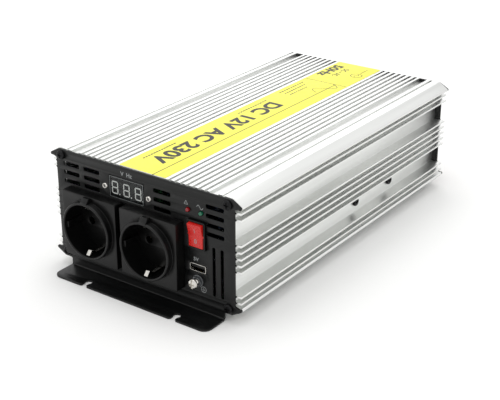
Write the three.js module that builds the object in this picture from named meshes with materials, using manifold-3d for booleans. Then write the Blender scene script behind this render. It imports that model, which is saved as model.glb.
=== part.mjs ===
// A mains power inverter. Two finned aluminium extrusions make a long box, two folded steel plates
// close its ends and carry the feet, and the sockets, switch, display, terminals and fan sit on the plates.
// Millimetres. +Z is up, the front plate faces -Y, and the origin is on the ground under the middle.
import * as THREE from "three";
import { mergeVertices } from "three/addons/utils/BufferGeometryUtils.js";
import Module from "manifold-3d";

const wasm = await Module();
wasm.setup();

// ---------- overall sizes ----------
const HOUSING_LENGTH = 296; // over the outer faces of both end plates
const PLATE_WIDTH = 160; // between the straight side edges
const PLATE_HEIGHT = 86;
const PLATE_THICKNESS = 1.5;
const BODY_LIFT = 6.8; // the plates' lower edge above the ground
const FLANGE_REACH = 20.5; // the foot's length out from the plate's face
const FLANGE_WIDTH = 142;
const FLANGE_CORNER_RADIUS = 6;
const BEND_RADIUS = 1; // inside the fold

// ---------- clearances ----------
const GAP = 0.3; // between neighbours that don't slide
const SCREW_CLEARANCE = 0.3; // on the radius round a screw's shank
const RUNNING_GAP = 0.35; // round the rocker and the fan's shaft

// ---------- housing section, measured from its centre ----------
const FIN_THICKNESS = 1.5;
const FIN_PITCH = 4.95;
const FIN_REACH = 4.6; // the side fins' tips beyond the plate's edge
const FIN_TIP_CHAMFER = 0.4;
const CHANNEL_DEPTH = 4.8; // the wide side channels' floors, inside the plate's edge
const GROOVE_DEPTH = 1.8; // the narrow side grooves' floors, inside the plate's edge
const MIDDLE_FINS = 2; // above the centre fin, and as many below it
const UPPER_FINS = 2;
const UPPER_FIN_DROP = 9.6; // the uppermost side fin below the plate's top edge
const WALL = 3;
const TOOTH = 0.7; // the plate's teeth beyond its side edge, one over each side fin
const TOP_RISE = 0.7; // the top fins above the plate's top edge
const TOP_GROOVE_DEPTH = 3;
const TOP_GROOVE_WIDTH = 2.3;
const TOP_GROOVE_PITCH = 5.11;
const PAD_HALF_WIDTH = 23.5; // the flat strip that carries the label
const CORNER_SLAB_WIDTH = 6.6;
const THIN_GROOVE_WIDTH = 1.6;
const THIN_GROOVE_DEPTH = 1.5;
const EDGE_FIN_WIDTH = 3.4;
const WIDE_GROOVE_WIDTH = 7.2;
const LEAST_TOP_FIN = 2.3; // beside the wide groove
const CORNER_INSET = 2.4; // the plate's corner inside its side edge
const WING_TIP_RADIUS = 1.3;
const WING_TIP_SETBACK = 0.35; // the wing tip's centre inside the side fins' tips
const WING_DROP = 5.1; // the wing tip's centre below the top edge
const WING_UNDERSIDE_DROP = 7.2; // where the wing meets the side edge
const LAP_HEIGHT = 3; // the tongue that laps the two shells
const RIB_REACH = 2.2; // ribs that hold the circuit board
const RIB_THICKNESS = 1.5;
const BOARD_THICKNESS = 1.6;
const BOARD_LIFT = 9.3; // the circuit board above the housing's inner floor

// ---------- label ----------
const LABEL_WIDTH = 41.6;
const LABEL_THICKNESS = 0.3;
const LABEL_END_MARGIN = 0.5;

// ---------- screws ----------
const SCREW_RADIUS = 1.5;
const SCREW_LENGTH = 14;
const SCREW_HEAD_RADIUS = 3.6;
const SCREW_HEAD_HEIGHT = 2;
const RECESS_WIDTH = 1.1; // one arm of the cross recess
const RECESS_SPAN = 4;
const RECESS_DEPTH = 1.3;
const CORNER_SCREW_INSET = 5.2; // from the plate's side edge
const CORNER_SCREW_DROP = 4.4; // from its top and bottom edges
const SIDE_SCREW_Y = [16.3, 68.5];
const SIDE_SCREW_LENGTH = 12;

// ---------- sockets ----------
const SOCKET_BORE_RADIUS = 20;
const SOCKET_RING_WALL = 2;
const SOCKET_DEPTH = 17.5; // from the ring's rim to the well's floor
const SOCKET_FACE_WIDTH = 50.4;
const SOCKET_FACE_HEIGHT = 50.8;
const SOCKET_FACE_DEPTH = 8.8; // in front of the plate
const SOCKET_RING_RISE = 5; // in front of the face
const SOCKET_PITCH = 54.5;
const SOCKET_FROM_LEFT = 37.4; // the first socket's axis from the plate's left edge
const SOCKET_UP = 34.2; // the sockets' axes above the plate's lower edge
const SOCKET_BODY_RADIUS = 22; // behind the plate
const SOCKET_BODY_DEPTH = 23;
const PIN_SPACING = 19;
const PIN_HOLE_RADIUS = 2.8;
const CONTACT_WALL = 0.7;
const SOCKET_FLOOR = 2.5;
const GUIDE_WIDTH = 5;
const GUIDE_RISE = 1.7;
const GUIDE_SETBACK = 2.5;
const KEY_WIDTH = 6;
const KEY_FOOT_RISE = 2.6;
const CLIP_WIDTH = 4;
const CLIP_THICKNESS = 0.8;
const CLIP_SETBACK = 2.2;
const CLIP_INSET = 3.9; // the clip's crest inside the well's wall

// ---------- display ----------
const WINDOW_WIDTH = 31.3;
const WINDOW_HEIGHT = 16.3;
const WINDOW_FROM_LEFT = 51.1; // the window's left edge from the plate's left edge
const WINDOW_DROP = 8.6; // its top edge below the plate's top edge
const WINDOW_LIP = 2;
const WINDOW_RISE = 0.2; // in front of the plate
const DISPLAY_DEPTH = 6;
const RIVET_HEAD_RADIUS = 2.35;
const RIVET_SHANK_RADIUS = 1.5;
const RIVET_BORE_RADIUS = 0.95;
const RIVET_OFFSET = 4.4; // from the window's edge
const RIVET_DROP = 18.1;

// ---------- right-hand column: switch, lights, charging port, earth screw ----------
const COLUMN_FROM_RIGHT = 31; // the column's centre line from the plate's right edge
const SWITCH_UP = 52.9;
const BEZEL_WIDTH = 15;
const BEZEL_HEIGHT = 21;
const BEZEL_RISE = 2;
const ROCKER_WIDTH = 11.8;
const ROCKER_RADIUS = 8.9; // the rocker's curved ends about its pivot
const ROCKER_END_RISE = 2.3;
const ROCKER_MIDDLE_RISE = 1.4;
const ROCKER_BACK_DEPTH = 3; // behind its pivot
const ROCKER_TILT = 7; // degrees each way from the middle
const SWITCH_WALL = 0.9;
const SWITCH_DEPTH = 14;
const TRUNNION_RADIUS = 1.1;
const LIGHT_RADIUS = 1.5;
const LIGHT_RISE = 2;
const LIGHT_UP = 69.4;
const LIGHT_SPACING = 11.2;
const FAULT_LIGHT_OFFSET = -7.7; // from the column's centre line
const PORT_WIDTH = 13.7;
const PORT_HEIGHT = 5.7;
const PORT_UP = 27.6;
const PORT_DEPTH = 14;
const PORT_WALL = 0.45;
const TONGUE_WIDTH = 11.2;
const TONGUE_THICKNESS = 1.8;
const EARTH_UP = 17.8;
const EARTH_SCREW_RADIUS = 2;
const EARTH_HEAD_RADIUS = 3.9;
const EARTH_HEAD_HEIGHT = 2.6;
const EARTH_NUT_FLATS = 7;
const EARTH_NUT_THICKNESS = 2.2;
const EARTH_WASHER_RADIUS = 4.5;
const EARTH_WASHER_THICKNESS = 0.7;
const EARTH_LUG_SPACE = 2.5; // between the nut and the screw's head, for a ring lug

// ---------- vents ----------
const SLOT_LENGTH = 15;
const SLOT_HEIGHT = 3.1;
const SLOT_PITCH = 6.7;
const SLOT_TOP_DROP = 10.1; // the first row below the top edge
const SLOT_COLUMNS_LEFT = [14.6, 34, 98.7]; // column centres from the plate's left edge
const SLOT_ROWS_LEFT = 3;
const SLOT_COLUMN_RIGHT = 16; // from the right edge
const SLOT_ROWS_RIGHT = 4;
const REAR_VENT_ROWS = 2; // above each terminal, and as many below it
const TALL_SLOT_WIDTH = 2.4;
const TALL_SLOT_BOTTOM = 9.7;
const TALL_SLOT_TOP = 46.8;
const TALL_SLOTS = [17.3, 10.4]; // from the right edge

// ---------- mounting notches ----------
const NOTCH_SPACING = 82.4;
const NOTCH_HOLE_RADIUS = 2.8;
const NOTCH_NECK = 4;
const NOTCH_FROM_EDGE = 5.7; // the hole's centre from the foot's free edge
const NOTCH_FLARE = 1.2;

// ---------- rear plate ----------
const FAN_SIZE = 60;
const FAN_DEPTH = 20;
const FAN_RIM = 2; // the frame's wall beside its bore
const FAN_HOLE_INSET = 5; // the screw holes from the frame's edges
const FAN_X = -36;
const BLADE_CLEARANCE = 1.2;
const BLADE_COUNT = 7;
const BLADE_THICKNESS = 1.2;
const BLADE_ANGLE = 38; // degrees
const HUB_RADIUS = 12.5;
const SHAFT_RADIUS = 1.5;
const STRUT_WIDTH = 3;
const STRUT_DEPTH = 3;
const GUARD_WIRE = 1; // wire radius
const GUARD_RINGS = 4;
const TERMINAL_SPACING = 34;
const TERMINAL_X = 18; // the nearer post
const TERMINAL_BASE_RADIUS = 12;
const TERMINAL_BASE_RISE = 6;
const TERMINAL_NECK_RADIUS = 7;
const STUD_RADIUS = 4;
const STUD_REACH = 19.5; // out from the plate
const KNOB_RADIUS = 8.5;
const KNOB_HEIGHT = 9;
const KNOB_RIBS = 12;
const LUG_GAP = 2.5;

// ---------- inside ----------
const BOARD_FRONT_MARGIN = 40; // behind the front plate
const BOARD_REAR_MARGIN = 26;
const CORE_WIDTH = 42;
const CORE_HEIGHT = 36;
const CORE_DEPTH = 20;
const CORE_LEG = 9;
const WINDING_BULGE = 9;
const COIL_CORNER = 4;
const CAPACITOR_RADIUS = 11;
const CAPACITOR_HEIGHT = 32;
const CHOKE_RADIUS = 12;
const CHOKE_TUBE = 5.5;
const CLAMP_LENGTH = 96;
const CLAMP_THICKNESS = 5;
const CLAMP_HEIGHT = 12;
const TRANSISTOR_WIDTH = 10.2;
const TRANSISTOR_HEIGHT = 15;
const TRANSISTOR_THICKNESS = 4.4;

// ---------- derived places ----------
const halfWidth = PLATE_WIDTH / 2;
const halfHeight = PLATE_HEIGHT / 2;
const centreZ = BODY_LIFT + halfHeight;
const plateBottom = BODY_LIFT;
const frontY = -HOUSING_LENGTH / 2; // outer face of the front plate
const frontInnerY = frontY + PLATE_THICKNESS;
const rearY = HOUSING_LENGTH / 2;
const rearInnerY = rearY - PLATE_THICKNESS;
const grooveFloor = halfWidth - GROOVE_DEPTH;
const channelFloor = halfWidth - CHANNEL_DEPTH;
const innerHalfWidth = channelFloor - WALL;
const topLevel = halfHeight + TOP_RISE;
const innerHalfHeight = topLevel - TOP_GROOVE_DEPTH - WALL;
const finTip = halfWidth + FIN_REACH;
const screwX = halfWidth - CORNER_SCREW_INSET;
const screwZ = halfHeight - CORNER_SCREW_DROP;
const splitLevel = -FIN_PITCH / 2;
const lapX = (grooveFloor + innerHalfWidth) / 2;
const boardZ = centreZ - innerHalfHeight + BOARD_LIFT;
const boardTop = boardZ + BOARD_THICKNESS;
const columnX = halfWidth - COLUMN_FROM_RIGHT;
const channelZ = centreZ - (MIDDLE_FINS * FIN_PITCH + halfHeight - UPPER_FIN_DROP
  - (UPPER_FINS - 1) * FIN_PITCH) / 2;
const fanBoreRadius = FAN_SIZE / 2 - FAN_RIM;
const fanHoleSpacing = FAN_SIZE - 2 * FAN_HOLE_INSET;
const rowZ = (row) => plateBottom + PLATE_HEIGHT - SLOT_TOP_DROP - row * SLOT_PITCH;

// ---------- small tools ----------
const point = (x, y) => new THREE.Vector2(x, y);
// Outlines run anticlockwise and holes clockwise.
const polygon = (points) =>
  new THREE.Shape(THREE.ShapeUtils.isClockWise(points) ? [...points].reverse() : points);

function solidOf(geometry) {
  const bare = geometry.clone();
  bare.deleteAttribute("normal");
  bare.deleteAttribute("uv");
  const merged = mergeVertices(bare, 1e-4);
  const mesh = new wasm.Mesh({
    numProp: 3,
    vertProperties: new Float32Array(merged.attributes.position.array),
    triVerts: new Uint32Array(merged.index.array),
  });
  return new wasm.Manifold(mesh);
}

function geometryOf(solid) {
  const mesh = solid.getMesh();
  const geometry = new THREE.BufferGeometry();
  geometry.setAttribute("position", new THREE.BufferAttribute(mesh.vertProperties, 3));
  geometry.setIndex(new THREE.BufferAttribute(mesh.triVerts, 1));
  const faceted = geometry.toNonIndexed();
  faceted.computeVertexNormals();
  return faceted;
}

const joined = (pieces) => pieces.reduce((whole, piece) => whole.add(piece));
const cut = (whole, tools) => tools.reduce((rest, tool) => rest.subtract(tool), whole);

// A shape drawn in x and z, pushed through from yLow to yHigh.
function alongY(shape, yLow, yHigh, curveSegments = 8) {
  const geometry = new THREE.ExtrudeGeometry(shape, {
    depth: yHigh - yLow,
    bevelEnabled: false,
    curveSegments,
  });
  geometry.rotateX(Math.PI / 2);
  geometry.translate(0, yHigh, 0);
  return solidOf(geometry);
}

// A shape drawn in y and z, pushed through from xLow to xHigh.
function alongX(shape, xLow, xHigh) {
  const geometry = new THREE.ExtrudeGeometry(shape, { depth: xHigh - xLow, bevelEnabled: false });
  geometry.rotateX(Math.PI / 2);
  geometry.rotateZ(Math.PI / 2);
  geometry.translate(xLow, 0, 0);
  return solidOf(geometry);
}

// A shape drawn in x and y, pushed through from zLow to zHigh.
function alongZ(shape, zLow, zHigh, curveSegments = 6) {
  const geometry = new THREE.ExtrudeGeometry(shape, {
    depth: zHigh - zLow,
    bevelEnabled: false,
    curveSegments,
  });
  geometry.translate(0, 0, zLow);
  return solidOf(geometry);
}

function block(xLow, xHigh, yLow, yHigh, zLow, zHigh) {
  const geometry = new THREE.BoxGeometry(xHigh - xLow, yHigh - yLow, zHigh - zLow);
  geometry.translate((xLow + xHigh) / 2, (yLow + yHigh) / 2, (zLow + zHigh) / 2);
  return solidOf(geometry);
}

// A turned piece whose axis is Y. Each profile point is a radius and a y.
function turned(profile, x, z, sides = 24) {
  const geometry = new THREE.LatheGeometry(profile.map(([r, y]) => point(r, y)), sides);
  geometry.translate(x, 0, z);
  const solid = solidOf(geometry);
  return solid.volume() < 0 ? solidOf(flipped(geometry)) : solid;
}

// The same surface with its faces turned round.
function flipped(geometry) {
  const copy = geometry.clone();
  const index = copy.index.array;
  for (let i = 0; i < index.length; i += 3) {
    const first = index[i];
    index[i] = index[i + 1];
    index[i + 1] = first;
  }
  return copy;
}

const rod = (radius, yLow, yHigh, x, z, sides = 24) =>
  turned([[0, yLow], [radius, yLow], [radius, yHigh], [0, yHigh]], x, z, sides);

const tube = (inner, outer, yLow, yHigh, x, z, sides = 24) =>
  turned([[inner, yLow], [outer, yLow], [outer, yHigh], [inner, yHigh], [inner, yLow]], x, z, sides);

// A round hole as a clockwise polygon drawn round the true circle, so a round piece still fits in it.
function circlePath(x, z, radius) {
  const sides = radius > 10 ? 32 : 12;
  const outer = radius / Math.cos(Math.PI / sides);
  return new THREE.Path(Array.from({ length: sides }, (_, i) => {
    const angle = (-2 * Math.PI * i) / sides;
    return point(x + outer * Math.cos(angle), z + outer * Math.sin(angle));
  }));
}

function rectanglePath(x, z, width, height) {
  const path = new THREE.Path();
  path.moveTo(x - width / 2, z - height / 2);
  path.lineTo(x - width / 2, z + height / 2);
  path.lineTo(x + width / 2, z + height / 2);
  path.lineTo(x + width / 2, z - height / 2);
  path.closePath();
  return path;
}

// A rectangle with its corners cut off, for punched vents.
function slotPath(x, z, width, height) {
  const corner = Math.min(width, height) / 3;
  const halfW = width / 2;
  const halfH = height / 2;
  const outline = [
    [-halfW, -halfH + corner], [-halfW, halfH - corner], [-halfW + corner, halfH], [halfW - corner, halfH],
    [halfW, halfH - corner], [halfW, -halfH + corner], [halfW - corner, -halfH], [-halfW + corner, -halfH],
  ];
  return new THREE.Path(outline.map(([dx, dz]) => point(x + dx, z + dz)));
}

const group = new THREE.Group();

function addPart(name, solid, colour, roughness, metalness = 0) {
  const material = new THREE.MeshStandardMaterial({ color: colour, roughness, metalness });
  const mesh = new THREE.Mesh(geometryOf(solid), material);
  mesh.name = name;
  group.add(mesh);
}

const ALUMINIUM = 0xd3d5d2;
const BLACK_PAINT = 0x2a2b2b;
const BLACK_PLASTIC = 0x1c1d1d;
const BRIGHT_METAL = 0xd8d8d4;
const BRASS = 0xc9a85a;
const BOARD_GREEN = 0x1f5b34;
const FERRITE = 0x3a3c3e;
const COPPER = 0xb36b3c;
const RED_PLASTIC = 0xc8302a;

// ---------- the housing's section ----------
const middleLevels = Array.from({ length: MIDDLE_FINS }, (_, i) => (i + 1) * FIN_PITCH);
const upperLevels = Array.from({ length: UPPER_FINS }, (_, i) =>
  halfHeight - UPPER_FIN_DROP - (UPPER_FINS - 1 - i) * FIN_PITCH);

// The lip at a corner, from the side edge out to its round tip and back in to the corner.
function wing(rootX, rootZ, cornerZ) {
  const corner = point(halfWidth - CORNER_INSET, cornerZ);
  const tip = point(finTip - WING_TIP_SETBACK, halfHeight - WING_DROP);
  const along = tip.clone().sub(corner).normalize();
  const start = Math.atan2(along.y, along.x) - Math.PI / 2;
  const arc = [0, 1, 2, 3, 4].map((i) => {
    const angle = start + (i * Math.PI) / 4;
    return point(tip.x + WING_TIP_RADIUS * Math.cos(angle), tip.y + WING_TIP_RADIUS * Math.sin(angle));
  });
  return [point(rootX, rootZ), ...arc, corner];
}

function sideFin(level, floorBelow, floorAbove) {
  const low = level - FIN_THICKNESS / 2;
  const high = level + FIN_THICKNESS / 2;
  return [
    point(floorBelow, low),
    point(finTip - FIN_TIP_CHAMFER, low),
    point(finTip, low + FIN_TIP_CHAMFER),
    point(finTip, high - FIN_TIP_CHAMFER),
    point(finTip - FIN_TIP_CHAMFER, high),
    point(floorAbove, high),
  ];
}

function topGroove(outer, width, depth) {
  return [
    point(outer, topLevel),
    point(outer, topLevel - depth),
    point(outer - width, topLevel - depth),
    point(outer - width, topLevel),
  ];
}

// One quarter of the outside, from a height on the side wall up and over to the middle of the top.
function outsideQuarter(startLevel, lowFins) {
  const points = [point(grooveFloor, startLevel)];
  const middle = [...lowFins, ...middleLevels];
  middle.forEach((level, i) => {
    const last = i === middle.length - 1;
    points.push(...sideFin(level, grooveFloor, last ? channelFloor : grooveFloor));
  });
  upperLevels.forEach((level, i) => {
    points.push(...sideFin(level, i === 0 ? channelFloor : grooveFloor, grooveFloor));
  });
  points.push(...wing(grooveFloor, halfHeight - WING_UNDERSIDE_DROP - GROOVE_DEPTH / 3, topLevel));
  const slabInner = halfWidth - CORNER_INSET - CORNER_SLAB_WIDTH;
  points.push(...topGroove(slabInner, THIN_GROOVE_WIDTH, THIN_GROOVE_DEPTH));
  const wideOuter = slabInner - THIN_GROOVE_WIDTH - EDGE_FIN_WIDTH;
  points.push(...topGroove(wideOuter, WIDE_GROOVE_WIDTH, TOP_GROOVE_DEPTH));
  const room = wideOuter - WIDE_GROOVE_WIDTH - LEAST_TOP_FIN - PAD_HALF_WIDTH;
  const grooves = 1 + Math.floor((room - TOP_GROOVE_WIDTH) / TOP_GROOVE_PITCH + 0.02);
  for (let i = grooves - 1; i >= 0; i -= 1) {
    const outer = PAD_HALF_WIDTH + i * TOP_GROOVE_PITCH + TOP_GROOVE_WIDTH;
    points.push(...topGroove(outer, TOP_GROOVE_WIDTH, TOP_GROOVE_DEPTH));
  }
  points.pop(); // the innermost groove ends at the lower label strip
  points.push(point(PAD_HALF_WIDTH, topLevel - LABEL_THICKNESS));
  return points;
}

// Both sides of the outside, then both sides of the inside, as one closed outline.
function shellShape(outside, inside, zSign) {
  const right = [...outside].map((p) => point(p.x, centreZ + zSign * p.y));
  const within = [...inside].map((p) => point(p.x, centreZ + zSign * p.y));
  const mirrored = (points) => [...points].reverse().map((p) => point(-p.x, p.y));
  const shape = polygon([...right, ...mirrored(right), ...mirrored(within), ...within]);
  for (const side of [-1, 1]) {
    shape.holes.push(circlePath(side * screwX, centreZ + zSign * screwZ, SCREW_RADIUS + SCREW_CLEARANCE));
  }
  return shape;
}

const sideHoles = () => SIDE_SCREW_Y.flatMap((y) => [-1, 1].map((side) => {
  const shank = new THREE.CylinderGeometry(SCREW_RADIUS + SCREW_CLEARANCE, SCREW_RADIUS + SCREW_CLEARANCE,
    3 * CHANNEL_DEPTH, 12);
  shank.rotateZ(Math.PI / 2);
  shank.translate(side * (innerHalfWidth + WALL / 2), y, channelZ);
  return solidOf(shank);
}));

function addShells() {
  const lapTop = [
    point(innerHalfWidth, innerHalfHeight),
    point(innerHalfWidth, splitLevel - LAP_HEIGHT),
    point(lapX - GAP / 2, splitLevel - LAP_HEIGHT),
    point(lapX - GAP / 2, splitLevel),
  ];
  const top = shellShape(outsideQuarter(splitLevel, [0]), lapTop, 1);
  const shellFront = frontInnerY;
  const shellRear = rearInnerY;
  addPart("top_shell", alongY(top, shellFront, shellRear, 3), ALUMINIUM, 0.38, 1);

  const ribLow = -(boardZ - centreZ) + GAP; // measured down from the centre
  const ribHigh = -(boardTop - centreZ) - GAP;
  const rib = (from, to) => [
    point(innerHalfWidth, from),
    point(innerHalfWidth - RIB_REACH, from),
    point(innerHalfWidth - RIB_REACH, to),
    point(innerHalfWidth, to),
  ];
  const lapBottom = [
    point(innerHalfWidth, innerHalfHeight),
    ...rib(ribLow + RIB_THICKNESS, ribLow),
    ...rib(ribHigh, ribHigh - RIB_THICKNESS),
    point(innerHalfWidth, -splitLevel + LAP_HEIGHT + GAP),
    point(lapX + GAP / 2, -splitLevel + LAP_HEIGHT + GAP),
    point(lapX + GAP / 2, -splitLevel + GAP),
  ];
  const bottom = shellShape(outsideQuarter(-splitLevel + GAP, []), lapBottom, -1);
  const solid = cut(alongY(bottom, shellFront, shellRear, 3), sideHoles());
  addPart("bottom_shell", solid, ALUMINIUM, 0.38, 1);
}

function addLabel() {
  const high = centreZ + topLevel;
  const solid = block(-LABEL_WIDTH / 2, LABEL_WIDTH / 2, frontInnerY + LABEL_END_MARGIN,
    rearInnerY - LABEL_END_MARGIN, high - LABEL_THICKNESS, high);
  addPart("label", solid, 0xf7f06a, 0.5);
}

// ---------- end plates ----------
// The plate's outline follows the housing: a lip at each corner and a small tooth over each side fin.
function plateOutline() {
  const upper = [];
  const levels = [0, ...middleLevels, ...upperLevels];
  const tooth = (level) => [
    point(halfWidth, level - FIN_THICKNESS / 2),
    point(halfWidth + TOOTH, level - FIN_THICKNESS / 4),
    point(halfWidth + TOOTH, level + FIN_THICKNESS / 4),
    point(halfWidth, level + FIN_THICKNESS / 2),
  ];
  levels.slice(1).forEach((level) => upper.push(...tooth(level)));
  upper.push(...wing(halfWidth, halfHeight - WING_UNDERSIDE_DROP, halfHeight));
  const lower = [...upper].reverse().map((p) => point(p.x, -p.y));
  const right = [...lower, ...tooth(0), ...upper];
  const left = [...right].reverse().map((p) => point(-p.x, p.y));
  return [...right, ...left].map((p) => point(p.x, centreZ + p.y));
}

// The foot seen from above: round outer corners, and two notches open at its free edge.
// y runs out from the plate's face.
function footShape() {
  const edge = FLANGE_REACH;
  const halfFoot = FLANGE_WIDTH / 2;
  const shape = new THREE.Shape();
  shape.moveTo(-halfFoot, BEND_RADIUS);
  shape.lineTo(halfFoot, BEND_RADIUS);
  shape.lineTo(halfFoot, edge - FLANGE_CORNER_RADIUS);
  shape.absarc(halfFoot - FLANGE_CORNER_RADIUS, edge - FLANGE_CORNER_RADIUS, FLANGE_CORNER_RADIUS,
    0, Math.PI / 2);
  for (const side of [1, -1]) {
    const x = (side * NOTCH_SPACING) / 2;
    const centreY = edge - NOTCH_FROM_EDGE;
    const half = NOTCH_NECK / 2;
    const open = Math.asin(half / NOTCH_HOLE_RADIUS);
    shape.lineTo(x + half + NOTCH_FLARE, edge);
    shape.lineTo(x + half, edge - NOTCH_FLARE);
    shape.absarc(x, centreY, NOTCH_HOLE_RADIUS, Math.PI / 2 - open, Math.PI / 2 + open, true);
    shape.lineTo(x - half, edge - NOTCH_FLARE);
    shape.lineTo(x - half - NOTCH_FLARE, edge);
  }
  shape.absarc(-halfFoot + FLANGE_CORNER_RADIUS, edge - FLANGE_CORNER_RADIUS, FLANGE_CORNER_RADIUS,
    Math.PI / 2, Math.PI);
  shape.closePath();
  return shape;
}

// The strip that drops from the plate and folds forward, seen from the side.
function foldShape() {
  const inner = BEND_RADIUS;
  const outer = BEND_RADIUS + PLATE_THICKNESS;
  const shape = new THREE.Shape();
  shape.moveTo(0, plateBottom + 2);
  shape.lineTo(0, outer);
  shape.absarc(inner, outer, inner, Math.PI, 1.5 * Math.PI);
  shape.lineTo(inner + 0.5, PLATE_THICKNESS);
  shape.lineTo(inner + 0.5, 0);
  shape.absarc(inner, outer, outer, 1.5 * Math.PI, Math.PI, true);
  shape.lineTo(-PLATE_THICKNESS, plateBottom + 2);
  shape.closePath();
  return shape;
}

// side is -1 for the front plate and 1 for the rear one. Holes are given as paths in x and z.
function endPlate(side, holes) {
  const shape = polygon(plateOutline());
  for (const hole of holes) shape.holes.push(hole);
  const outerFace = (side * HOUSING_LENGTH) / 2;
  const innerFace = outerFace - side * PLATE_THICKNESS;
  const plate = alongY(shape, Math.min(outerFace, innerFace), Math.max(outerFace, innerFace), 6);
  const foot = alongZ(footShape(), 0, PLATE_THICKNESS);
  const fold = alongX(foldShape(), -FLANGE_WIDTH / 2, FLANGE_WIDTH / 2);
  let lower = foot.add(fold);
  if (side < 0) lower = lower.rotate([0, 0, 180]);
  return plate.add(lower.translate([0, outerFace, 0]));
}

const cornerScrewPlaces = [-1, 1].flatMap((sx) => [-1, 1].map((sz) => [sx * screwX, centreZ + sz * screwZ]));
const screwHole = ([x, z]) => circlePath(x, z, SCREW_RADIUS + SCREW_CLEARANCE);

const socketPlaces = [0, 1].map((i) => [-halfWidth + SOCKET_FROM_LEFT + i * SOCKET_PITCH,
  plateBottom + SOCKET_UP]);
const windowX = -halfWidth + WINDOW_FROM_LEFT + WINDOW_WIDTH / 2;
const windowZ = plateBottom + PLATE_HEIGHT - WINDOW_DROP - WINDOW_HEIGHT / 2;
const rivetPlaces = [-1, 1].map((side) => [windowX + side * (WINDOW_WIDTH / 2 + RIVET_OFFSET),
  plateBottom + PLATE_HEIGHT - RIVET_DROP]);
const lightPlaces = [0, 1].map((i) => [columnX + FAULT_LIGHT_OFFSET + i * LIGHT_SPACING,
  plateBottom + LIGHT_UP]);
const switchZ = plateBottom + SWITCH_UP;
const rockerCavityHalf = ROCKER_RADIUS + RUNNING_GAP;
const switchBodyWidth = ROCKER_WIDTH + 2 * (RUNNING_GAP + SWITCH_WALL);
const switchBodyHeight = 2 * (rockerCavityHalf + SWITCH_WALL);

function frontHoles() {
  const vents = SLOT_COLUMNS_LEFT.flatMap((fromLeft) =>
    Array.from({ length: SLOT_ROWS_LEFT }, (_, row) =>
      slotPath(-halfWidth + fromLeft, rowZ(row), SLOT_LENGTH, SLOT_HEIGHT)));
  const rightVents = Array.from({ length: SLOT_ROWS_RIGHT }, (_, row) =>
    slotPath(halfWidth - SLOT_COLUMN_RIGHT, rowZ(row), SLOT_LENGTH, SLOT_HEIGHT));
  const tallVents = TALL_SLOTS.map((fromRight) =>
    slotPath(halfWidth - fromRight, plateBottom + (TALL_SLOT_BOTTOM + TALL_SLOT_TOP) / 2,
      TALL_SLOT_WIDTH, TALL_SLOT_TOP - TALL_SLOT_BOTTOM));
  return [
    ...cornerScrewPlaces.map(screwHole),
    ...socketPlaces.map(([x, z]) => circlePath(x, z, SOCKET_BODY_RADIUS + GAP)),
    ...rivetPlaces.map(([x, z]) => circlePath(x, z, RIVET_SHANK_RADIUS + GAP)),
    ...lightPlaces.map(([x, z]) => circlePath(x, z, LIGHT_RADIUS + GAP)),
    rectanglePath(windowX, windowZ, WINDOW_WIDTH + 2 * GAP, WINDOW_HEIGHT + 2 * GAP),
    rectanglePath(columnX, switchZ, switchBodyWidth + 2 * GAP, switchBodyHeight + 2 * GAP),
    rectanglePath(columnX, plateBottom + PORT_UP, PORT_WIDTH + 2 * GAP, PORT_HEIGHT + 2 * GAP),
    circlePath(columnX, plateBottom + EARTH_UP, EARTH_SCREW_RADIUS + SCREW_CLEARANCE),
    ...vents, ...rightVents, ...tallVents,
  ];
}

const fanPlace = [FAN_X, centreZ];
const fanScrewPlaces = [-1, 1].flatMap((sx) => [-1, 1].map((sz) =>
  [FAN_X + (sx * fanHoleSpacing) / 2, centreZ + (sz * fanHoleSpacing) / 2]));
const terminalPlaces = [0, 1].map((i) => [TERMINAL_X + i * TERMINAL_SPACING, centreZ]);

function rearHoles() {
  const vents = terminalPlaces.flatMap(([x]) => [-1, 1].flatMap((side) =>
    Array.from({ length: REAR_VENT_ROWS }, (_, row) =>
      slotPath(x, centreZ + side * (halfHeight - SLOT_TOP_DROP - row * SLOT_PITCH), SLOT_LENGTH,
        SLOT_HEIGHT))));
  return [
    ...cornerScrewPlaces.map(screwHole),
    circlePath(...fanPlace, fanBoreRadius),
    ...fanScrewPlaces.map(screwHole),
    ...terminalPlaces.map(([x, z]) => circlePath(x, z, TERMINAL_NECK_RADIUS + GAP)),
    ...vents,
  ];
}

// ---------- screws ----------
// A pan-head screw with a cross recess. Its head points to -Y and seats at y = 0.
function panScrew(length) {
  const head = SCREW_HEAD_HEIGHT;
  const radius = SCREW_HEAD_RADIUS;
  const body = turned([
    [0, -head], [radius * 0.6, -head], [radius, -head * 0.5], [radius, 0],
    [SCREW_RADIUS, 0], [SCREW_RADIUS, length - SCREW_RADIUS], [0, length],
  ], 0, 0, 12);
  const half = RECESS_SPAN / 2;
  const arm = RECESS_WIDTH / 2;
  const floor = -head + RECESS_DEPTH;
  const cross = block(-half, half, -2 * head, floor, -arm, arm).add(
    block(-arm, arm, -2 * head, floor, -half, half));
  return body.subtract(cross);
}

function addScrews() {
  cornerScrewPlaces.forEach(([x, z], i) => {
    const front = panScrew(SCREW_LENGTH).translate([x, frontY, z]);
    addPart(`front_screw_${i + 1}`, front, BLACK_PAINT, 0.4, 0.8);
    const rear = panScrew(SCREW_LENGTH).rotate([0, 0, 180]).translate([x, rearY, z]);
    addPart(`rear_screw_${i + 1}`, rear, BLACK_PAINT, 0.4, 0.8);
  });
  const sides = [1, -1];
  sides.forEach((side) => SIDE_SCREW_Y.forEach((y, i) => {
    const turn = side > 0 ? 90 : -90;
    const screw = panScrew(SIDE_SCREW_LENGTH).rotate([0, 0, turn]);
    const name = `${side > 0 ? "right" : "left"}_side_screw_${i + 1}`;
    addPart(name, screw.translate([side * channelFloor, y, channelZ]), BLACK_PAINT, 0.4, 0.8);
  }));
}

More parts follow.
